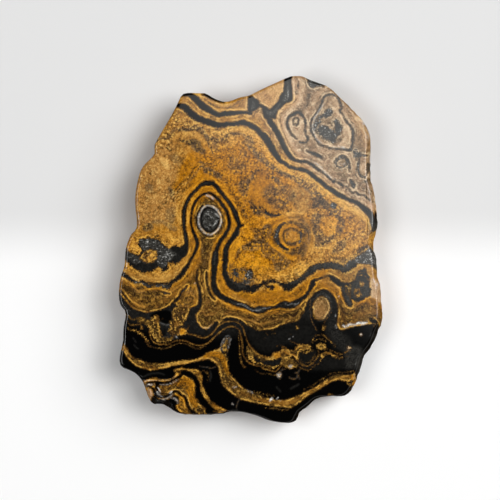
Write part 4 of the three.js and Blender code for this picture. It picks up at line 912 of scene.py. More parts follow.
vein(1.2, "504 300 20,20 18,38 26,38 20,26 24", lamina=-.25)
vein(1.5, "532 300 30,14 20 40,16 14,18 8,20 10,20 14,16 14", lamina=.6)
patch(.9, "706 524,8 -10,14 -8,14 -10,8 8,2 22,-16 2", ink=1, ash=.95)
patch(1.2, "672 494,10 -12,10 -2,0 10,-6 12,-12 2", ash=.9)
# The lower left: browner ground, the pale lamina on its crest, the black line below it, and
# pinkish scraps at the rim.
patch(2, "280 762,24 -8,26 6,22 -12,0 -10,28 -2,22 4,4 20,-14 -8,-24 -6,-12 22,-16 14,-20 2,-20 20,-16 -16",
      hue=1.5)
patch(2, "282 762,22 -6,26 8,22 -12,14 -10,14 12,-8 22,-8 8,-20 -4,-24 8,0 10,-16 8,-14 -14", lamina=-.4)
patch(2, "400 740,12 28,12 28,24 16,24 18,-24 6,-28 -24,-16 -24,-8 -28", lamina=-.3)
patch(2, "398 740,14 28,12 28,24 16,24 18,-24 6,-28 -24,-16 -24,-8 -28", hue=1.5)
vein(.4, "286 763 14,8 -2,10 -1,10 1,12 1,12 -2,8 -4,7 -5,7 -6", bare=1, lamina=.9)
vein(.6, "286 764 20,8 -3,20 0 14,24 -1,15 -9", hue=-1)
vein(.4, "294 766 14,10 -2,12 1,14 1,10 -2,8 -4,8 -6,7 -6", ink=1)
vein(.3, "320 769 8,12 0,10 -2,8 -4,9 -6", bare=1, cream=.3)
patch(1, "292 778,8 -2,6 8,0 12,-6 2,-6 -10", hue=-.8)
patch(1, "294 780,6 -2,6 8,-2 8,-6 -4", lamina=.1)
vein(.6, "294 771 10,6 3 14,6 4 16,3 8 20,1 10 16", ink=1)
patch(1.5, "416 392,12 6,10 12,8 16,2 18,-6 16,-14 16,-12 6,-12 -10,-10 -14,-4 -22,2 -20,10 -16", lamina=-.5)
# The mauve-brown horn with its cream outline, and the dark middles of the lower bands.
patch(.8, "442 700,4 -14,6 -10,5 1,1 7,-4 12,-6 8", ash=.95, lamina=-.5)
vein(.5, "439 702 8,4 -14,6 -12,7 -4,5 5,-2 11,-3 10", cream=.35)
vein(1.5, "256 704 20,16 14 40,24 11 44,28 1,28 -7 40,28 -7,28 -6 34,18 0 30,12 14 40,6 20,12 22,20 18,24 12",
     lamina=-.4)
patch(2, "368 776,24 -4,4 28,12 20,-8 12,-20 -24", lamina=-.3)
vein(.5, "248 696 10,14 17,16 9,22 3,28 -1,28 -5,24 -7,20 -6,16 -8,12 -12", "252 710 10,14 15,18 10,20 3,"
     "24 -2,28 -7,24 -6,24 -4,16 -2", lamina=.4)
# The golden band under the hollow, its flecked black lines and the mottled corner of the hollow.
patch(2, "452 524,12 24,16 20,24 16,20 -4,26 -12,18 12,16 0,20 -14,20 -14,20 -12,20 0,-20 12,-20 12,-12 16,"
      "-16 14,-20 10,-24 6,-24 2,-20 -4,-20 -10,-20 -14,-16 -18,-8 -22", hue=1)
patch(2, "480 580,24 8,20 -4,26 -4,22 4,28 -10,-4 18,-20 10,-36 6,-32 -4", lamina=0)
patch(2, "456 532,24 0,24 8,8 18,-12 14,-20 0,-18 -12", lamina=-.3)
vein(.5, "476 607 8,12 3,10 7,10 4,10 -1,10 -3,12 -2", cream=.3)
vein(.5, "568 607 8,8 3,8 -3,8 2,6 -4", cream=.25)
patch(2.5, "536 376,18 -8,22 8,10 16,-10 18,-20 6,-20 -12", lamina=0)
patch(2, "538 378,16 -8,22 6,8 16,-10 16,-18 4,-18 -10", ash=.85)
vein(.7, "584 380 11,-4 10,6 10,-8 8,-10 -2", lamina=-.5)
vein(1, "314 636 24,2 16,6 16", lamina=-.3)
# The grey-brown seams and rings between the golden cells of the wide field.
patch(3, "544 444,36 -16,36 12,16 28,-8 32,-24 16,-32 0,-24 -20,-8 -24", grain=.4)
patch(3, "524 384,12 -12,16 6,16 -2,14 2,2 14,-8 14,-10 10,-16 2,-10 -10,-12 -12", ash=.5, lamina=-.25)
vein(1.2, "566 346 16,14 10 24,14 6 30,16 6 40,12 8 50,6 12,2 12 40,12 10 30,12 8 24", ash=.6, lamina=-.4)
vein(.9, "582 444 26,16 4,10 12,4 14,-4 16,-12 12,-16 2,-16 -6,-8 -14,-2 -14,4 -14,10 -10,14 -2",
     ash=.65, lamina=-.45)
vein(.8, "582 456 20,10 3,7 11,-2 12,-9 7,-12 -1,-8 -8,-1 -12,5 -8,10 -4", ash=.55, lamina=-.35)
vein(.7, "582 451 16,14 5,9 12,-1 16,-10 11,-14 2,-13 -5,-6 -12,-1 -14,6 -10,16 -5", lamina=.35, ash=.3)
vein(1, "580 436 16,16 2 20,12 6 24,10 12,2 14,-2 16,-6 14 30,-8 12 26", ash=.6, lamina=-.3)
patch(1.5, "630 458,10 -2,6 12,-2 18,-8 10,-8 -6,4 -14", ash=.6, lamina=-.3)
vein(1.2, "676 422 20,6 12 30,-2 14 34,-6 12 30,-4 12 26,-12 6 20", ash=.6, lamina=-.3)
patch(1.5, "674 482,12 4,0 12,-12 8,-8 -4,4 -10", ash=.6, lamina=-.3)
patch(2, "526 454,12 -6,6 12,-4 14,-6 14,-10 -6,-8 -6,-8 -10,4 -8,8 2", "504 486,20 -2,16 10,14 8,14 12,"
      "10 14,-10 4,-18 -8,-14 -8,-12 -10,0 -10,-16 -4", ash=.6, lamina=-.3)
patch(1.5, "480 364,12 -2,2 14,-6 8,-10 -4", ash=.6, lamina=-.3)
vein(1, "484 420 26,6 10,6 8", "498 362 14,6 -10,8 -10,8 -8", ash=.6, lamina=-.3)
vein(.8, "498 402 24,8 10,10 6,8 6,10 6,10 3,10 -4", lamina=-.65, ash=.4)
vein(.8, "526 450 23,10 -6,14 -8,16 -5,16 -3", "534 472 22,4 10,8 10,14 12,14 12,12 -2", lamina=.6)
vein(.6, "623 460 18,3 12,3 10", lamina=.7)
vein(.5, "634 378 10,10 12,8 10", lamina=.9)
vein(.7, "582 456 18,11 5,5 11,-5 11,-11 5,-11 -5,-5 -11,5 -11,11 -5", lamina=-1.1)
vein(.7, "582 446 17,18 8,8 18,-7 19,-19 8,-19 -8,-7 -19,7 -19,19 -7", lamina=-1)
vein(.8, "540 448 14,-6 12 24,-4 12 30,4 12 24", lamina=-.6)
vein(.8, "599 484 22,2 -12,-3 -10", lamina=-1.1)
vein(.6, "562 444 15,10 -5,10 -1,12 2,10 5", lamina=.7)
vein(.7, "582 451 18,14 6,8 15,-7 17,-15 5,-15 -5,-6 -17,6 -15,15 -6", lamina=.3)
# Brown haze by the lower right rim, and deeper tones in the nodule and the lower bands.
patch(3, "700 694,22 2,4 20,-6 16,-14 4,-16 0,-4 -16", ash=.42)
patch(3, "592 720,48 -8,46 4,0 20,-50 4,-36 -4", ash=.12)
patch(2, "632 598,12 -6,14 8,4 16,-8 16,-14 2,-10 -14", lamina=-.3)
patch(2, "340 796,20 0,20 24,0 16,-28 -4", hue=1.4, lamina=-.35)
patch(3, "280 596,40 4,32 -8,32 8,0 24,-44 4,-44 -12", lamina=-.45)
patch(2, "656 532,24 4,24 0,0 20,-24 -2,-20 0", "364 748,24 0,12 48,-4 24,-12 -12", lamina=-.4)
vein(1, "332 725 26,20 -3,20 -4,20 -5", lamina=-.55)


# How strokes are worked out, in sheet units.
ROUTE_STEP = 0.7
LINE_END_TAPER = 0.6
INK_REACH = 8.0
PLAIN_GRAIN = 0.35
PLAIN_FRAY = 0.5
FAR = 1e6
TINY = 1e-9

# How the mesh is cut.
SNAP = 0.001 * MM
FLAT = 0.9999
STEEP = 0.9
FOOT_ROW = 0.4 * MM

# How the wall is roughened; the layers of lumps are their fading, how much finer each is, and their number.
WALL_RELIEF = 0.3 * MM
WALL_RELIEF_START = 1.0 * MM
WALL_RELIEF_RISE = 2.5 * MM
WALL_LUMP = 2.6 * MM
WALL_LUMP_LAYERS = (1, 2, 3)

# How the bands run down into the stone; the pull towards the middle ends at a share of the thickness.
EDGE_PULL = 0.035
EDGE_PULL_END = 0.25
LEAN = (1.4 * MM, 3.0 * MM)
WANDER = 3.2 * MM
WANDER_SIZE = 16 * MM
WANDER_SEED = 1

# Depths below the face over which the polish ends, and heights over which the sawn back ends.
POLISH_FADE = (0.1 * MM, 0.5 * MM)
SAWN_FADE = (0.02 * MM, 0.3 * MM)

# Noise in the stone: features a millimetre, layers of detail, their roughness, where it is read, its swirl.
COARSE_TEAR = dict(per_mm=0.7, detail=2, roughness=0.6, offset=11)
FINE_TEAR = dict(per_mm=2.4, detail=2, roughness=0.7, offset=23)
THREAD_GAPS = dict(per_mm=0.3, detail=2, roughness=0.6, offset=41)
CLOUD = dict(per_mm=0.25, detail=3, roughness=0.6, offset=5)
MOTTLE = dict(per_mm=0.8, detail=3, roughness=0.7, offset=31, swirl=0.9)
GRIT = dict(per_mm=1.9, detail=2, roughness=0.7, offset=47)
HAZE = dict(per_mm=0.42, detail=2, roughness=0.5, offset=53)
LAMINAE = dict(per_mm=1.0, detail=3, roughness=0.65)
STRANDS = dict(per_mm=1.2, detail=1, roughness=0.5, offset=17)
RIMS = dict(per_mm=0.6, detail=3, roughness=0.75, offset=91, swirl=0.6)
RIM_GAPS = dict(per_mm=0.35, detail=1, roughness=0.5, offset=97)
DUST_FILM = dict(per_mm=0.9, detail=4, roughness=0.7, offset=61)
WALL_GRIT = dict(per_mm=2.4, detail=4, roughness=0.7, offset=71)
WALL_BUMPS = dict(per_mm=0.45, detail=4, roughness=0.6, offset=83)
GRAINS = dict(per_mm=1.7, warp=0.7, warp_per_mm=2.21, offset=3)

# How black mineral meets ochre: how deep the edge is torn, and the depths of its mask, hem and pale thread.
COARSE_TEAR_DEPTH = 2.6
FINE_TEAR_DEPTH = 6.0
MASK_EDGE = (-0.5, 0.4)
HEM_EDGE = (-1.5, -0.2)
THREAD_OUTSIDE = (-2.6, -1.7)
THREAD_INSIDE = (-0.7, -1.3)
THREAD_GAP_EDGE = (-0.08, 0.08)

# How close the laminae lie, how they bend and waver, and how they show.
LAMINAE_PER_DEPTH = 0.62
LAMINAE_BEND = 9.0
LAMINAE_WAVER = 0.7
LAMINAE_STRETCH = 0.16
LAMINAE_TONE = 5.5
STRAND_EDGE = (0.035, 0.008)
STRAND_SHARE = 0.45

# What lightens and darkens the ground.
MOTTLE_TONE = 2.6
GRIT_TONE = 2.8
CLOUD_TONE = 1.6
CHANCE_TONE = 0.9
TONE_SHIFT = 0.25
GRAIN_EDGE = (0.3, 0.7)
GRAIN_GAP_TONE = -0.5
PLAIN_TONE = -0.3
TAWNY_TONE = -0.65
LIGHT_SHARE = 0.75
DARK_SHARE = 0.9

# Shares and edges of the other colours.
HAZE_GRIT = 0.8
HAZE_EDGE = (0.02, 0.16)
HAZE_SHARE = 0.3
ASH_GRIT = 2.0
ASH_SHARE = 0.9
BLUSH_MILK = 0.45
TAWNY_GLOW = 0.6
PALE_LUCK = 0.91
PALE_GRAIN_SHARE = 0.6
DARK_LUCK = 0.1
RIM_EDGE = (0.03, 0.008)
RIM_GAP_EDGE = (-0.08, 0.1)
SPECK_SHARE = 0.6
THREAD_SHARE = 0.7
HEM_SHARE = 0.6
SLATE_GRIT = 2.5
SLATE_SHARE = 0.9
FLECK_EDGE = (0.08, 0.24)
FLECK_ASH = (0.5, 0.95)
FLECK_SHARE = 0.55
MILK_GRIT = 3.2
MILK_SHARE = 0.65

# The surface: polish, dust on the wall and the back, and bumps.
POLISHED_ROUGHNESS = 0.5
WALL_ROUGHNESS = 0.82
STONE_SHINE = {"Specular IOR Level": 0.0, "Coat Roughness": 0.07, "Coat IOR": 1.5}
DUST_EDGE = (-0.15, 0.25)
DUST_SHARE = 0.13
WALL_BUMP_HEIGHT = 2.0
SAW_PER_MM = 5.2
SAW_HEIGHT = 0.08
SAW_GRIT = 0.25
PIT_DEPTH = 0.02
BUMP_DISTANCE = 0.25 * MM

# The table, whose far half is painted a little darker as shade, the camera and the lights.
TABLE_HALF = 1.5
TABLE_SHADE = (15 * MM, -8 * MM)
TABLE_FINISH = {"Roughness": 0.9, "Specular IOR Level": 0.2}
SENSOR_MM = 36
VIEW_REACH = 10
STUDIO_GLOW = 0.01
WHITE = (1, 1, 1, 1)
LIGHTS = (
    ("key", (1.40, 0.62, 1.36), 1.4, 23.5, (1, 1, 1)),
    ("overhead", (1.0, 0.30, 2.0), 1.2, 20.5, (1, 1, 1)),
    ("left", (-0.50, -0.05, 1.1), 0.5, 5.2, (1, 1, 1)),
    ("softbox_edge", (0.154, 0.154, 1.09), 0.4, 0.3, (1, 1, 0.97)),
    ("softbox_rim", (0.164, 0.164, 1.08), 0.4, 0.37, (1, 1, 0.97)),
    ("softbox", (0.176, 0.176, 1.07), 0.4, 0.44, (1, 1, 0.97)),
)


def smooth_route(places, closed, step):
    """Rounds a stroke's places into a close row of (x, y, width)."""
    rows = [[0, 0, 0]]
    for place in places.split(","):
        row = [float(value) for value in place.split()]
        rows.append(row if len(row) == 3 else row + rows[-1][2:])
    points = np.array(rows[1:])
    points[:, :2] = points[:, :2].cumsum(axis=0) * STEP_UNIT
    points[:, 2] *= WIDTH_UNIT
    if not closed and np.ptp(points[:, 2]) == 0:
        points[[0, -1], 2] *= LINE_END_TAPER
    if closed:
        points = np.vstack([points[-1], points, points[0], points[1]])
    else:
        points = np.vstack([2 * points[0] - points[1], points, 2 * points[-1] - points[-2]])
    route = []
    for before, start, end, after in zip(points, points[1:], points[2:], points[3:]):
        count = max(1, math.ceil(math.dist(start[:2], end[:2]) / step))
        t = (np.arange(count) / count)[:, None]
        route.append(0.5 * (2 * start + (end - before) * t + (2 * before - 5 * start + 4 * end - after) * t**2
                            + (3 * start - before - 3 * end + after) * t**3))
    if not closed:
        route.append(points[-2:-1])
    return np.vstack(route)


def depth_in_line(spots, route):
    """How far inside a line each spot is; outside it is negative."""
    depth = np.full(len(spots), -FAR)
    for x, y, width in route:
        depth = np.maximum(depth, width / 2 - np.hypot(spots[:, 0] - x, spots[:, 1] - y))
    return depth


def depth_in_patch(spots, route):
    """How far inside a closed shape each spot is; outside it is negative."""
    x, y = spots[:, 0], spots[:, 1]
    distance = np.full(len(spots), FAR)
    inside = np.zeros(len(spots), bool)
    for (ax, ay, _), (bx, by, _) in zip(route, np.roll(route, -1, axis=0)):
        dx, dy = bx - ax, by - ay
        along = np.clip(((x - ax) * dx + (y - ay) * dy) / (dx * dx + dy * dy + TINY), 0, 1)
        distance = np.minimum(distance, np.hypot(x - ax - along * dx, y - ay - along * dy))
        if ay != by:
            inside ^= ((ay > y) != (by > y)) & (x < (y - ay) * dx / dy + ax)
    return np.where(inside, distance, -distance)


def step_up(value, start, end):
    """0 below start, 1 above end, and a smooth rise between."""
    t = np.clip((value - start) / (end - start), 0, 1)
    return t * t * (3 - 2 * t)


def paint_strokes(spots):
    """Works out every stroke at the spots on the sheet: a value a spot for each kind of mark."""
    marks = {name: np.zeros(len(spots)) for name in TONES}
    marks["grain"] += PLAIN_GRAIN
    marks["ink"] = np.full(len(spots), -INK_REACH)
    marks["fray"] = np.full(len(spots), PLAIN_FRAY)
    for tones, fray, closed, places in STROKES:
        route = smooth_route(places, closed, max(ROUTE_STEP, fray / 2))
        reach = route[:, 2].max() / 2 + fray + (INK_REACH if EDGES.keys() & tones else 0)
        low = route[:, :2].min(axis=0) - reach
        high = route[:, :2].max(axis=0) + reach
        near = np.nonzero(((spots > low) & (spots < high)).all(axis=1))[0]
        if not len(near):
            continue
        depth = (depth_in_patch if closed else depth_in_line)(spots[near], route)
        for kind, value in tones.items():
            if kind in EDGES:
                side = EDGES[kind]
                wins = depth > side * marks["ink"][near]
                marks["ink"][near] = np.where(wins, side * np.minimum(depth, INK_REACH), marks["ink"][near])
                marks["fray"][near] = np.where(wins, fray, marks["fray"][near])
            else:
                marks[kind][near] += (value - marks[kind][near]) * step_up(depth, -fray, fray)
    return marks


def cut_rows(bm, faces, axis, places):
    """Cuts faces across an axis at each of some places, halving the row of cuts every time."""
    if not places:
        return list(faces)
    middle = len(places) // 2
    across = Vector([float(i == axis) for i in range(3)])
    parts = set(faces)
    for face in faces:
        parts.update(face.edges, face.verts)
    cut = bmesh.ops.bisect_plane(bm, geom=list(parts), dist=SNAP,
                                 plane_co=across * places[middle], plane_no=across)
    pieces = [part for part in cut["geom"] if isinstance(part, bmesh.types.BMFace)]
    beyond = [face for face in pieces if face.calc_center_bounds()[axis] > places[middle]]
    before = [face for face in pieces if face.calc_center_bounds()[axis] <= places[middle]]
    return cut_rows(bm, before, axis, places[:middle]) + cut_rows(bm, beyond, axis, places[middle + 1:])


def row_places(axis, pitch):
    """Evenly spaced places across the slab."""
    count = math.ceil((SLAB_HIGH[axis] - SLAB_LOW[axis]) / pitch)
    return [SLAB_LOW[axis] + (row + 0.5) * pitch for row in range(count)]


def flat_faces(bm, height, up):
    """The faces that lie in a flat side of the slab."""
    return [face for face in bm.faces if face.normal.z * up > FLAT
            and all(abs(vert.co.z - height) < SNAP for vert in face.verts)]


def cut_flat(bm, height, up, pitch):
    """Cuts a flat side into square cells, and what is left at its rim into parts of cells."""
    strips = cut_rows(bm, flat_faces(bm, height, up), 0, row_places(0, pitch))
    return cut_rows(bm, strips, 1, row_places(1, pitch))


def refine_face(bm, pitch, cuts):
    """Cuts the face finely: whole cells are subdivided apart from the rest, and the rim is cut in rows."""
    cells = cut_flat(bm, FACE_Z, 1, pitch)
    bm.faces.index_update()
    whole = {face.index for face in cells if len(face.verts) == 4 and face.calc_area() > FLAT * pitch * pitch}
    inner = bm.copy()
    for part, keep in ((inner, True), (bm, False)):
        gone = [face for face in part.faces if (face.index in whole) != keep]
        bmesh.ops.delete(part, geom=gone, context="FACES")
    bmesh.ops.subdivide_edges(inner, edges=inner.edges[:], cuts=cuts, use_grid_fill=True)
    fine = pitch / (cuts + 1)
    for axis in (0, 1):
        first = row_places(axis, pitch)[0] - pitch
        places = [first + row * fine for row in range(math.ceil((SLAB_HIGH[axis] - first) / fine))]
        cut_rows(bm, flat_faces(bm, FACE_Z, 1), axis, places)
    mesh = bpy.data.meshes.new("cells")
    inner.to_mesh(mesh)
    inner.free()
    bm.from_mesh(mesh)
    bpy.data.meshes.remove(mesh)
    bmesh.ops.remove_doubles(bm, verts=bm.verts[:], dist=SNAP)


def refine_walls(bm, cuts):
    """Subdivides the wall's four-sided faces, which stand clear of the cut flat sides."""
    bm.normal_update()
    walls = [face for face in bm.faces if len(face.verts) == 4 and abs(face.normal.z) < STEEP]
    edges = {edge for face in walls for edge in face.edges}
    bmesh.ops.subdivide_edges(bm, edges=list(edges), cuts=cuts, use_grid_fill=True)


def weather_walls(bm):
    """Roughens the natural wall between the two flat sides, finely, as broken stone is."""
    for vert in bm.verts:
        room = min(FACE_Z - vert.co.z, vert.co.z - SLAB_LOW.z)
        fade = min(1, max(0, (room - WALL_RELIEF_START) / WALL_RELIEF_RISE))
        if fade:
            lumps = noise.fractal(vert.co / WALL_LUMP, *WALL_LUMP_LAYERS)
            vert.co += vert.normal * (lumps * WALL_RELIEF * fade - WALL_RELIEF * fade / 2)


def sheet_places(points):
    """Where each point of the mesh lies on the sheet. Below the face the bands lean and wander."""
    depth = (FACE_Z - points[:, 2]) / THICKNESS
    pull = 1 - EDGE_PULL * step_up(depth, 0, EDGE_PULL_END)
    noise.seed_set(WANDER_SEED)
    wander = np.array([noise.noise_vector(Vector(point) / WANDER_SIZE)[:2] for point in points])
    flat = points[:, :2] * pull[:, None] + depth[:, None] * (np.array(LEAN) + wander * WANDER)
    x = SHEET_CENTRE[0] + flat[:, 0] / SHEET_UNIT
    y = SHEET_CENTRE[1] - flat[:, 1] / SHEET_UNIT
    return np.stack([x, y], axis=1)


def store(mesh, name, values):
    """Keeps one number a vertex under a name that the material reads."""
    mesh.attributes.new(name, "FLOAT", "POINT").data.foreach_set("value", values.astype(np.float32))


class NodeSheet:
    """Adds nodes to a tree and links them, one short line a node."""

    def __init__(self, tree):
        self.tree = tree

    def feed(self, socket, value):
        """Gives a socket a value, or a link where the value is another socket."""
        if isinstance(value, bpy.types.NodeSocket):
            self.tree.links.new(value, socket)
        else:
            socket.default_value = value

    def add(self, kind, inputs=None, **settings):
        """Adds a node, with its settings and what feeds its inputs."""
        node = self.tree.nodes.new("ShaderNode" + kind)
        for name, value in settings.items():
            setattr(node, name, value)
        for name, value in (inputs or {}).items():
            self.feed(node.inputs[name], value)
        return node

    def math(self, operation, *values, clamp=False):
        """One step of arithmetic."""
        node = self.add("Math", dict(enumerate(values)), operation=operation, use_clamp=clamp)
        return node.outputs[0]

    def times(self, first, second, clamp=False):
        """The product of two values."""
        return self.math("MULTIPLY", first, second, clamp=clamp)

    def times_plus(self, first, second, more, clamp=False):
        """The product of two values, and more."""
        return self.math("MULTIPLY_ADD", first, second, more, clamp=clamp)

    def rest(self, value):
        """What a share leaves of the whole."""
        return self.math("SUBTRACT", 1.0, value, clamp=True)

    def vector(self, operation, inputs):
        """One step of arithmetic on vectors."""
        return self.add("VectorMath", inputs, operation=operation).outputs[0]

    def ramp(self, value, start, end, low=0.0, high=1.0):
        """A smooth rise from low to high as the value goes from start to end."""
        ends = {"Value": value, "From Min": start, "From Max": end, "To Min": low, "To Max": high}
        return self.add("MapRange", ends, interpolation_type="SMOOTHSTEP").outputs["Result"]

    def mix(self, share, first, second):
        """The first colour, with a share of the second in it."""
        node = self.add("Mix", {0: share, 6: first, 7: second}, data_type="RGBA")
        return node.outputs[2]

    def noise(self, place, per_mm, detail, roughness, offset=0.0, swirl=0.0):
        """Soft noise with features about 1 / per_mm wide, as a value around 0."""
        moved = self.vector("ADD", {0: place, 1: (offset, offset, offset)})
        node = self.add("TexNoise", {"Vector": moved, "Scale": per_mm, "Detail": detail,
                                     "Roughness": roughness, "Distortion": swirl})
        return self.math("SUBTRACT", node.outputs["Fac"], 0.5)

    def grains(self, place, per_mm, warp, warp_per_mm, offset):
        """A crowd of uneven grains: the reach from each one's middle, and two chance values a grain."""
        bend = self.add("TexNoise", {"Vector": place, "Scale": warp_per_mm, "Detail": 2.0}).outputs["Color"]
        bend = self.vector("SCALE", {0: bend, "Scale": warp})
        moved = self.vector("ADD", {0: self.vector("ADD", {0: place, 1: bend}), 1: (offset, offset, offset)})
        node = self.add("TexVoronoi", {"Vector": moved, "Scale": per_mm})
        chance = self.add("SeparateXYZ", {0: node.outputs["Color"]})
        return node.outputs["Distance"], chance.outputs["X"], chance.outputs["Y"]

    def mark(self, name):
        """The value that the mesh keeps under a name."""
        return self.add("Attribute", attribute_name=name).outputs["Fac"]


def shader_group(name, inputs, outputs):
    """An empty shader group with named sockets; gives its sheet, its inputs and its outputs."""
    tree = bpy.data.node_groups.new(name, "ShaderNodeTree")
    for label, kind, default in inputs:
        socket = tree.interface.new_socket(label, in_out="INPUT", socket_type="NodeSocket" + kind)
        if default is not None:
            socket.default_value = default
    for label, kind in outputs:
        tree.interface.new_socket(label, in_out="OUTPUT", socket_type="NodeSocket" + kind)
    sheet = NodeSheet(tree)
    entry = tree.nodes.new("NodeGroupInput")
    leave = tree.nodes.new("NodeGroupOutput")
    return sheet, entry.outputs, leave.inputs


def torn_edge_group():
    """How black mineral meets ochre: the drawn edge, torn by fine noise."""
    sheet, given, made = shader_group(
        "torn_edge",
        [("Place", "Vector", None), ("Depth", "Float", 0.0), ("Fray", "Float", PLAIN_FRAY)],
        [("Mask", "Float"), ("Hem", "Float"), ("Thread", "Float"), ("Torn depth", "Float")])
    coarse = sheet.noise(given["Place"], **COARSE_TEAR)
    fine = sheet.noise(given["Place"], **FINE_TEAR)
    torn = sheet.times_plus(coarse, COARSE_TEAR_DEPTH, sheet.times(fine, FINE_TEAR_DEPTH))
    depth = sheet.times_plus(torn, given["Fray"], given["Depth"])
    sheet.feed(made["Mask"], sheet.ramp(depth, *MASK_EDGE))
    sheet.feed(made["Hem"], sheet.ramp(depth, *HEM_EDGE))
    thread = sheet.times(sheet.ramp(depth, *THREAD_OUTSIDE), sheet.ramp(depth, *THREAD_INSIDE))
    broken = sheet.ramp(sheet.noise(given["Place"], **THREAD_GAPS), *THREAD_GAP_EDGE)
    sheet.feed(made["Thread"], sheet.times(thread, broken))
    sheet.feed(made["Torn depth"], depth)
    return sheet.tree


def banding_group(colours):
    """The stone's colour, from the marks that the mesh carries."""
    marks = ("Lamina", "Ash", "Cream", "Hue", "Grain", "Ink", "Hem", "Thread", "Torn depth")
    sheet, given, made = shader_group(
        "banded_stone",
        [("Place", "Vector", None)] + [(name, "Float", 0.0) for name in marks]
        + [(label, "Color", tuple(value)) for label, value in colours.items()],
        [("Color", "Color"), ("Speck", "Float")])
    place, grain, ash, hue = given["Place"], given["Grain"], given["Ash"], given["Hue"]
    plain = sheet.rest(grain)
    cloud = sheet.noise(place, **CLOUD)
    mottle = sheet.noise(place, **MOTTLE)
    grit = sheet.noise(place, **GRIT)
    gritty = sheet.math("ADD", mottle, grit)
    reach, chance, luck = sheet.grains(place, **GRAINS)
    # Thin laminae and strands run along the black bands, where the ground is plain.
    along = sheet.times_plus(given["Torn depth"], LAMINAE_PER_DEPTH, sheet.times(cloud, LAMINAE_BEND))
    along = sheet.add("CombineXYZ", {"Z": sheet.times_plus(mottle, LAMINAE_WAVER, along)}).outputs[0]
    flow = sheet.vector("MULTIPLY_ADD", {0: place, 1: (LAMINAE_STRETCH,) * 3, 2: along})
    laminae = sheet.times(sheet.noise(flow, **LAMINAE), sheet.times(plain, LAMINAE_TONE))
    strand = sheet.math("ABSOLUTE", sheet.noise(flow, **STRANDS))
    strand = sheet.times(sheet.ramp(strand, *STRAND_EDGE), plain)
    # The tone: above 0 the ground is lighter than its colour, and below 0 darker.
    tone = sheet.times_plus(mottle, MOTTLE_TONE, sheet.times(grit, GRIT_TONE))
    tone = sheet.times_plus(cloud, CLOUD_TONE, sheet.times_plus(chance, CHANCE_TONE, tone))
    gap = sheet.ramp(reach, *GRAIN_EDGE)
    tone = sheet.times_plus(gap, GRAIN_GAP_TONE, sheet.math("SUBTRACT", tone, TONE_SHIFT))
    tone = sheet.math("ADD", sheet.times_plus(tone, grain, laminae), given["Lamina"])
    tone = sheet.times_plus(plain, PLAIN_TONE, tone)
    golden = sheet.times(hue, 1.0, clamp=True)
    tawny = sheet.math("SUBTRACT", hue, 1.0, clamp=True)
    blush = sheet.math("MAXIMUM", sheet.times(hue, -1.0), 0.0)
    tone = sheet.times_plus(tawny, TAWNY_TONE, tone)
    # The ground, under a grey-brown haze and its own light and dark.
    ground = sheet.mix(tawny, sheet.mix(golden, given["Ochre"], given["Golden"]), given["Tawny"])
    ground = sheet.mix(blush, ground, given["Blush"])
    haze = sheet.ramp(sheet.times_plus(gritty, HAZE_GRIT, sheet.noise(place, **HAZE)), *HAZE_EDGE)
    drab = sheet.times(sheet.times_plus(gritty, ASH_GRIT, ASH_SHARE), ash)
    drab = sheet.times_plus(sheet.times(haze, grain), HAZE_SHARE, drab, clamp=True)
    ground = sheet.mix(drab, ground, given["Drab"])
    light = sheet.mix(sheet.math("SUBTRACT", golden, tawny, clamp=True), given["Pale"], given["Bright"])
    light = sheet.mix(sheet.times(blush, BLUSH_MILK), light, given["Milk"])
    glow = sheet.mix(sheet.times(tawny, TAWNY_GLOW), light, given["Tawny"])
    ground = sheet.mix(sheet.times(tone, LIGHT_SHARE, clamp=True), ground, glow)
    ground = sheet.mix(sheet.times(tone, -DARK_SHARE, clamp=True), ground, given["Umber"])
    ground = sheet.mix(sheet.times(strand, STRAND_SHARE), ground, light)
    # Pale and dark grains, the broken rims round them, and what lines the black bands.
    pale_grain = sheet.times(sheet.math("GREATER_THAN", luck, PALE_LUCK), grain)
    ground = sheet.mix(sheet.times(pale_grain, PALE_GRAIN_SHARE), ground, light)
    rim = sheet.ramp(sheet.math("ABSOLUTE", sheet.noise(place, **RIMS)), *RIM_EDGE)
    rim = sheet.times(sheet.times(rim, sheet.ramp(sheet.noise(place, **RIM_GAPS), *RIM_GAP_EDGE)), grain)
    speck = sheet.times(sheet.math("LESS_THAN", luck, DARK_LUCK), grain)
    ground = sheet.mix(sheet.times(sheet.math("MAXIMUM", rim, speck), SPECK_SHARE), ground, given["Umber"])
    ground = sheet.mix(sheet.times(given["Thread"], THREAD_SHARE), ground, light)
    ground = sheet.mix(sheet.times(given["Hem"], HEM_SHARE), ground, given["Umber"])
    # The black bands, with their slate parts and milky flecks, and the milky threads over all. The cream mark
    # that lays the threads also lays painted highlights on the right rim and the chipped corner.
    veil = sheet.times(sheet.times_plus(gritty, SLATE_GRIT, ASH_SHARE), ash)
    dark = sheet.mix(sheet.times(veil, SLATE_SHARE, clamp=True), given["Black"], given["Slate"])
    fleck = sheet.times(sheet.ramp(gritty, *FLECK_EDGE), sheet.ramp(ash, *FLECK_ASH))
    dark = sheet.mix(sheet.times(fleck, FLECK_SHARE), dark, given["Milk"])
    colour = sheet.mix(given["Ink"], ground, dark)
    milk = sheet.times_plus(gritty, MILK_GRIT, MILK_SHARE)
    colour = sheet.mix(sheet.times(milk, given["Cream"], clamp=True), colour, given["Milk"])
    sheet.feed(made["Color"], colour)
    sheet.feed(made["Speck"], sheet.math("MAXIMUM", speck, given["Ink"]))
    return sheet.tree


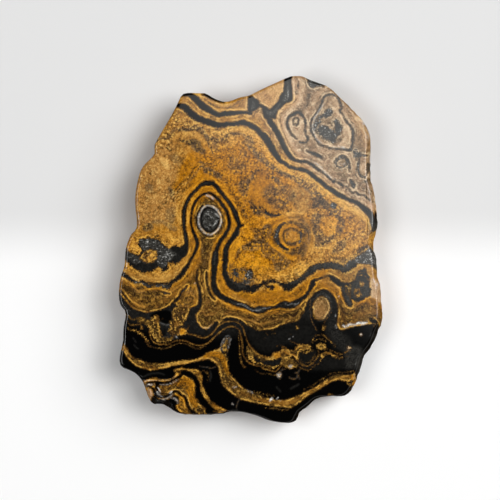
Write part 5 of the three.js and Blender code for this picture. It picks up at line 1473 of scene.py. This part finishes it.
def stone_material(colours):
    """Banded stone: glossy where it is polished, dull on the broken wall and on the sawn back."""
    material = bpy.data.materials.new("banded_stone")
    material.use_nodes = True
    sheet = NodeSheet(material.node_tree)
    shader = material.node_tree.nodes["Principled BSDF"]
    place = sheet.vector("SCALE", {0: sheet.add("TexCoord").outputs["Object"], "Scale": 1 / MM})
    edge = sheet.add("Group", {"Place": place, "Depth": sheet.mark("ink"), "Fray": sheet.mark("fray")},
                     node_tree=torn_edge_group())
    stone = sheet.add("Group", {"Place": place, "Ink": edge.outputs["Mask"]},
                      node_tree=banding_group(colours))
    for name in TONES:
        sheet.feed(stone.inputs[name.capitalize()], sheet.mark(name))
    for label in ("Hem", "Thread", "Torn depth"):
        sheet.feed(stone.inputs[label], edge.outputs[label])
    polish, sawn = sheet.mark("polish"), sheet.mark("sawn")
    rough = sheet.rest(polish)
    dust = sheet.times(sheet.ramp(sheet.noise(place, **DUST_FILM), *DUST_EDGE, 0.0, DUST_SHARE), rough)
    sheet.feed(shader.inputs["Base Color"], sheet.mix(dust, stone.outputs["Color"], colours["Dust"]))
    sheet.feed(shader.inputs["Roughness"], sheet.ramp(rough, 0.0, 1.0, POLISHED_ROUGHNESS, WALL_ROUGHNESS))
    sheet.feed(shader.inputs["Coat Weight"], polish)
    for label, value in STONE_SHINE.items():
        shader.inputs[label].default_value = value
    # Bumps: the broken wall, the saw's marks on the back, and pits where polish meets hard specks.
    grit = sheet.noise(place, **WALL_GRIT)
    broken = sheet.times(sheet.times_plus(sheet.noise(place, **WALL_BUMPS), WALL_BUMP_HEIGHT, grit), rough)
    broken = sheet.times(broken, sheet.rest(sawn))
    along = sheet.times(sheet.add("SeparateXYZ", {0: place}).outputs["Y"], SAW_PER_MM)
    saw = sheet.times_plus(sheet.math("SINE", along), SAW_HEIGHT, sheet.times(grit, SAW_GRIT))
    saw = sheet.times(saw, sawn)
    pits = sheet.times(sheet.times(stone.outputs["Speck"], polish), -PIT_DEPTH)
    height = sheet.math("ADD", sheet.math("ADD", broken, saw), pits)
    bump = sheet.add("Bump", {"Height": height, "Distance": BUMP_DISTANCE, "Strength": 1.0})
    sheet.feed(shader.inputs["Normal"], bump.outputs["Normal"])
    return material


def colour_of(red, green, blue):
    """A colour given as it looks on a screen, 0 to 255, in the light values that a render works in."""
    light = [value / 255 for value in (red, green, blue)]
    return tuple(value / 12.92 if value <= 0.04045 else ((value + 0.055) / 1.055) ** 2.4 for value in light)


def colour_setting(name, description, *screen):
    """A setting that holds a colour, given as it looks on a screen."""
    return bpy.props.FloatVectorProperty(name=name, description=description, subtype="COLOR", size=3,
                                         min=0, max=1, default=colour_of(*screen))


class StoneColours(bpy.types.PropertyGroup):
    """The colours of the stone's bands."""
    ochre: colour_setting("Ochre", "Plain ochre ground of the stone", 174, 118, 42)
    golden: colour_setting("Golden", "Richer ground in the middle", 178, 112, 6)
    tawny: colour_setting("Tawny", "Browner ground of the lower bands and the ringed column", 100, 70, 34)
    blush: colour_setting("Blush", "Pinkish ground near the upper right and the left rim", 186, 144, 106)
    pale: colour_setting("Pale", "Pale laminae and grains", 238, 188, 94)
    bright: colour_setting("Bright", "Bright laminae and grains in the golden ground", 230, 160, 36)
    umber: colour_setting("Umber", "Dark brown laminae, clouds and specks", 46, 31, 14)
    drab: colour_setting("Drab", "Grey-brown clouds", 118, 92, 58)
    black: colour_setting("Black", "Black bands", 2, 2, 2)
    slate: colour_setting("Slate", "Slate-grey parts of the black bands", 70, 68, 63)
    # Milk also colours the painted highlights that cream strokes lay on the right rim and the chipped corner.
    milk: colour_setting("Milk", "Milky threads and spots", 228, 226, 220)
    dust: colour_setting("Dust", "Dull weathered film on the broken wall and the back", 104, 90, 72)


class SlabSizes(bpy.types.PropertyGroup):
    """How finely the slab's surfaces are cut."""
    cell: bpy.props.FloatProperty(name="Cell", description="Side of the cells that flat sides are cut into",
                                  default=1.5 * MM, min=0.8 * MM, unit="LENGTH", precision=5)
    cuts: bpy.props.IntProperty(name="Cuts", description="Cuts across each cell of the polished face",
                                default=3, min=0)
    wall_cuts: bpy.props.IntProperty(name="Wall cuts", description="Cuts across each facet of the wall",
                                     default=2, min=0)


class TableSettings(bpy.types.PropertyGroup):
    """The table's colours, and how high the camera stands."""
    camera_height: bpy.props.FloatProperty(name="Camera height", description="Camera above the polished face",
                                           default=1.1, min=0.5, unit="LENGTH")
    table_colour: colour_setting("Table", "Pale table that the slab lies on", 249, 249, 249)
    # Painted shade: the far table's darker colour stands in for dimmer light on the far half.
    far_shade_colour: colour_setting("Far table", "The table's far half, a little darker", 223, 223, 223)


class STROMATOLITE_OT_slab(bpy.types.Operator):
    """Builds the banded slab over its solid"""
    bl_idname = "stromatolite.slab"
    bl_label = "Banded slab"

    def execute(self, context):
        sizes = context.scene.slab_sizes
        bm = bmesh.new()
        bm.from_mesh(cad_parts[SLAB_NODE].data)
        bmesh.ops.remove_doubles(bm, verts=bm.verts[:], dist=SNAP)
        bmesh.ops.recalc_face_normals(bm, faces=bm.faces[:])
        bm.normal_update()
        for height, up in ((FACE_Z, 1), (SLAB_LOW.z, -1)):
            bmesh.ops.dissolve_faces(bm, faces=flat_faces(bm, height, up))
        bmesh.ops.bisect_plane(bm, geom=bm.faces[:] + bm.edges[:] + bm.verts[:], dist=SNAP,
                               plane_co=SLAB_LOW + Vector((0, 0, FOOT_ROW)), plane_no=(0, 0, 1))
        cut_flat(bm, SLAB_LOW.z, -1, sizes.cell)
        refine_face(bm, sizes.cell, sizes.cuts)
        refine_walls(bm, sizes.wall_cuts)
        bm.normal_update()
        weather_walls(bm)
        mesh = bpy.data.meshes.new("banded_slab")
        bm.to_mesh(mesh)
        bm.free()
        mesh.shade_smooth()
        self.store_marks(mesh)
        slab = bpy.data.objects.new("banded_slab", mesh)
        context.scene.collection.objects.link(slab)
        colours = context.scene.stone_colours
        palette = {name.capitalize(): (*getattr(colours, name), 1.0) for name in StoneColours.__annotations__}
        mesh.materials.append(stone_material(palette))
        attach(slab, "root")
        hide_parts(SLAB_NODE)
        return {"FINISHED"}

    def store_marks(self, mesh):
        """Keeps at each vertex what the sheet lays down there, and how the surface is finished."""
        points = np.empty(len(mesh.vertices) * 3, np.float32)
        mesh.vertices.foreach_get("co", points)
        points = points.reshape(-1, 3).astype(float)
        marks = paint_strokes(sheet_places(points))
        marks["polish"] = 1 - step_up(FACE_Z - points[:, 2], *POLISH_FADE)
        marks["sawn"] = 1 - step_up(points[:, 2] - SLAB_LOW.z, *SAWN_FADE)
        for name, values in marks.items():
            store(mesh, name, values)


class STROMATOLITE_OT_table(bpy.types.Operator):
    """Builds the table, the lights and the camera"""
    bl_idname = "stromatolite.table"
    bl_label = "Table, lights and camera"

    def execute(self, context):
        settings = context.scene.table_settings
        bm = bmesh.new()
        bmesh.ops.create_grid(bm, x_segments=1, y_segments=1, size=TABLE_HALF)
        mesh = bpy.data.meshes.new("table")
        bm.to_mesh(mesh)
        bm.free()
        mesh.materials.append(self.table_material(settings.far_shade_colour, settings.table_colour))
        table = bpy.data.objects.new("table", mesh)
        context.scene.collection.objects.link(table)
        for light in LIGHTS:
            self.add_light(context, *light)
        world = bpy.data.worlds.new("studio")
        context.scene.world = world
        world.use_nodes = True
        world.node_tree.nodes["Background"].inputs["Color"].default_value = WHITE
        world.node_tree.nodes["Background"].inputs["Strength"].default_value = STUDIO_GLOW
        self.add_camera(context, settings.camera_height)
        context.scene.view_settings.view_transform = "Standard"
        return {"FINISHED"}

    def table_material(self, far_shade_colour, near_colour):
        """Matte table in one colour near the camera's foot, with painted shade: a darker colour on the far
        half.
        """
        material = bpy.data.materials.new("pale_table")
        material.use_nodes = True
        shader = material.node_tree.nodes["Principled BSDF"]
        sheet = NodeSheet(material.node_tree)
        place = sheet.add("TexCoord").outputs["Object"]
        near = sheet.ramp(sheet.add("SeparateXYZ", {0: place}).outputs["Y"], *TABLE_SHADE)
        sheet.feed(shader.inputs["Base Color"], sheet.mix(near, (*far_shade_colour, 1), (*near_colour, 1)))
        for label, value in TABLE_FINISH.items():
            shader.inputs[label].default_value = value
        return material

    def add_light(self, context, name, place, size, power, colour):
        """A square soft light at a place, which shines at the slab."""
        data = bpy.data.lights.new(name, "AREA")
        data.shape = "SQUARE"
        data.size = size
        data.energy = power
        data.color = colour
        light = bpy.data.objects.new(name, data)
        light.location = place
        light.rotation_euler = (-light.location).to_track_quat("-Z", "Y").to_euler()
        context.scene.collection.objects.link(light)

    def add_camera(self, context, height):
        """A camera straight above the sheet, whose picture is as wide as the view."""
        data = bpy.data.cameras.new("camera")
        data.sensor_width = SENSOR_MM
        data.lens = SENSOR_MM * height / (VIEW_WIDTH * SHEET_UNIT)
        data.clip_end = VIEW_REACH
        camera = bpy.data.objects.new("camera", data)
        x = (VIEW_CENTRE[0] - SHEET_CENTRE[0]) * SHEET_UNIT
        y = (SHEET_CENTRE[1] - VIEW_CENTRE[1]) * SHEET_UNIT
        camera.location = (x, y, FACE_Z + height)
        context.scene.collection.objects.link(camera)
        context.scene.camera = camera


class STROMATOLITE_PT_panel(bpy.types.Panel):
    """Lists the sizes, the colours and the steps that build the slab"""
    bl_idname = "STROMATOLITE_PT_panel"
    bl_label = "Stromatolite slab"
    bl_space_type = "VIEW_3D"
    bl_region_type = "UI"
    bl_category = "Stromatolite"

    def draw(self, context):
        for settings in (context.scene.slab_sizes, context.scene.stone_colours, context.scene.table_settings):
            for name in type(settings).__annotations__:
                self.layout.prop(settings, name)
        self.layout.operator(STROMATOLITE_OT_slab.bl_idname)
        self.layout.operator(STROMATOLITE_OT_table.bl_idname)


SETTINGS = {"slab_sizes": SlabSizes, "stone_colours": StoneColours, "table_settings": TableSettings}
CLASSES = (*SETTINGS.values(), STROMATOLITE_OT_slab, STROMATOLITE_OT_table, STROMATOLITE_PT_panel)


def register():
    for item in CLASSES:
        bpy.utils.register_class(item)
    for name, kind in SETTINGS.items():
        setattr(bpy.types.Scene, name, bpy.props.PointerProperty(type=kind))


def unregister():
    for name in SETTINGS:
        delattr(bpy.types.Scene, name)
    for item in reversed(CLASSES):
        bpy.utils.unregister_class(item)


def main():
    register()
    bpy.ops.stromatolite.slab()
    bpy.ops.stromatolite.table()


if __name__ == "__main__":
    main()
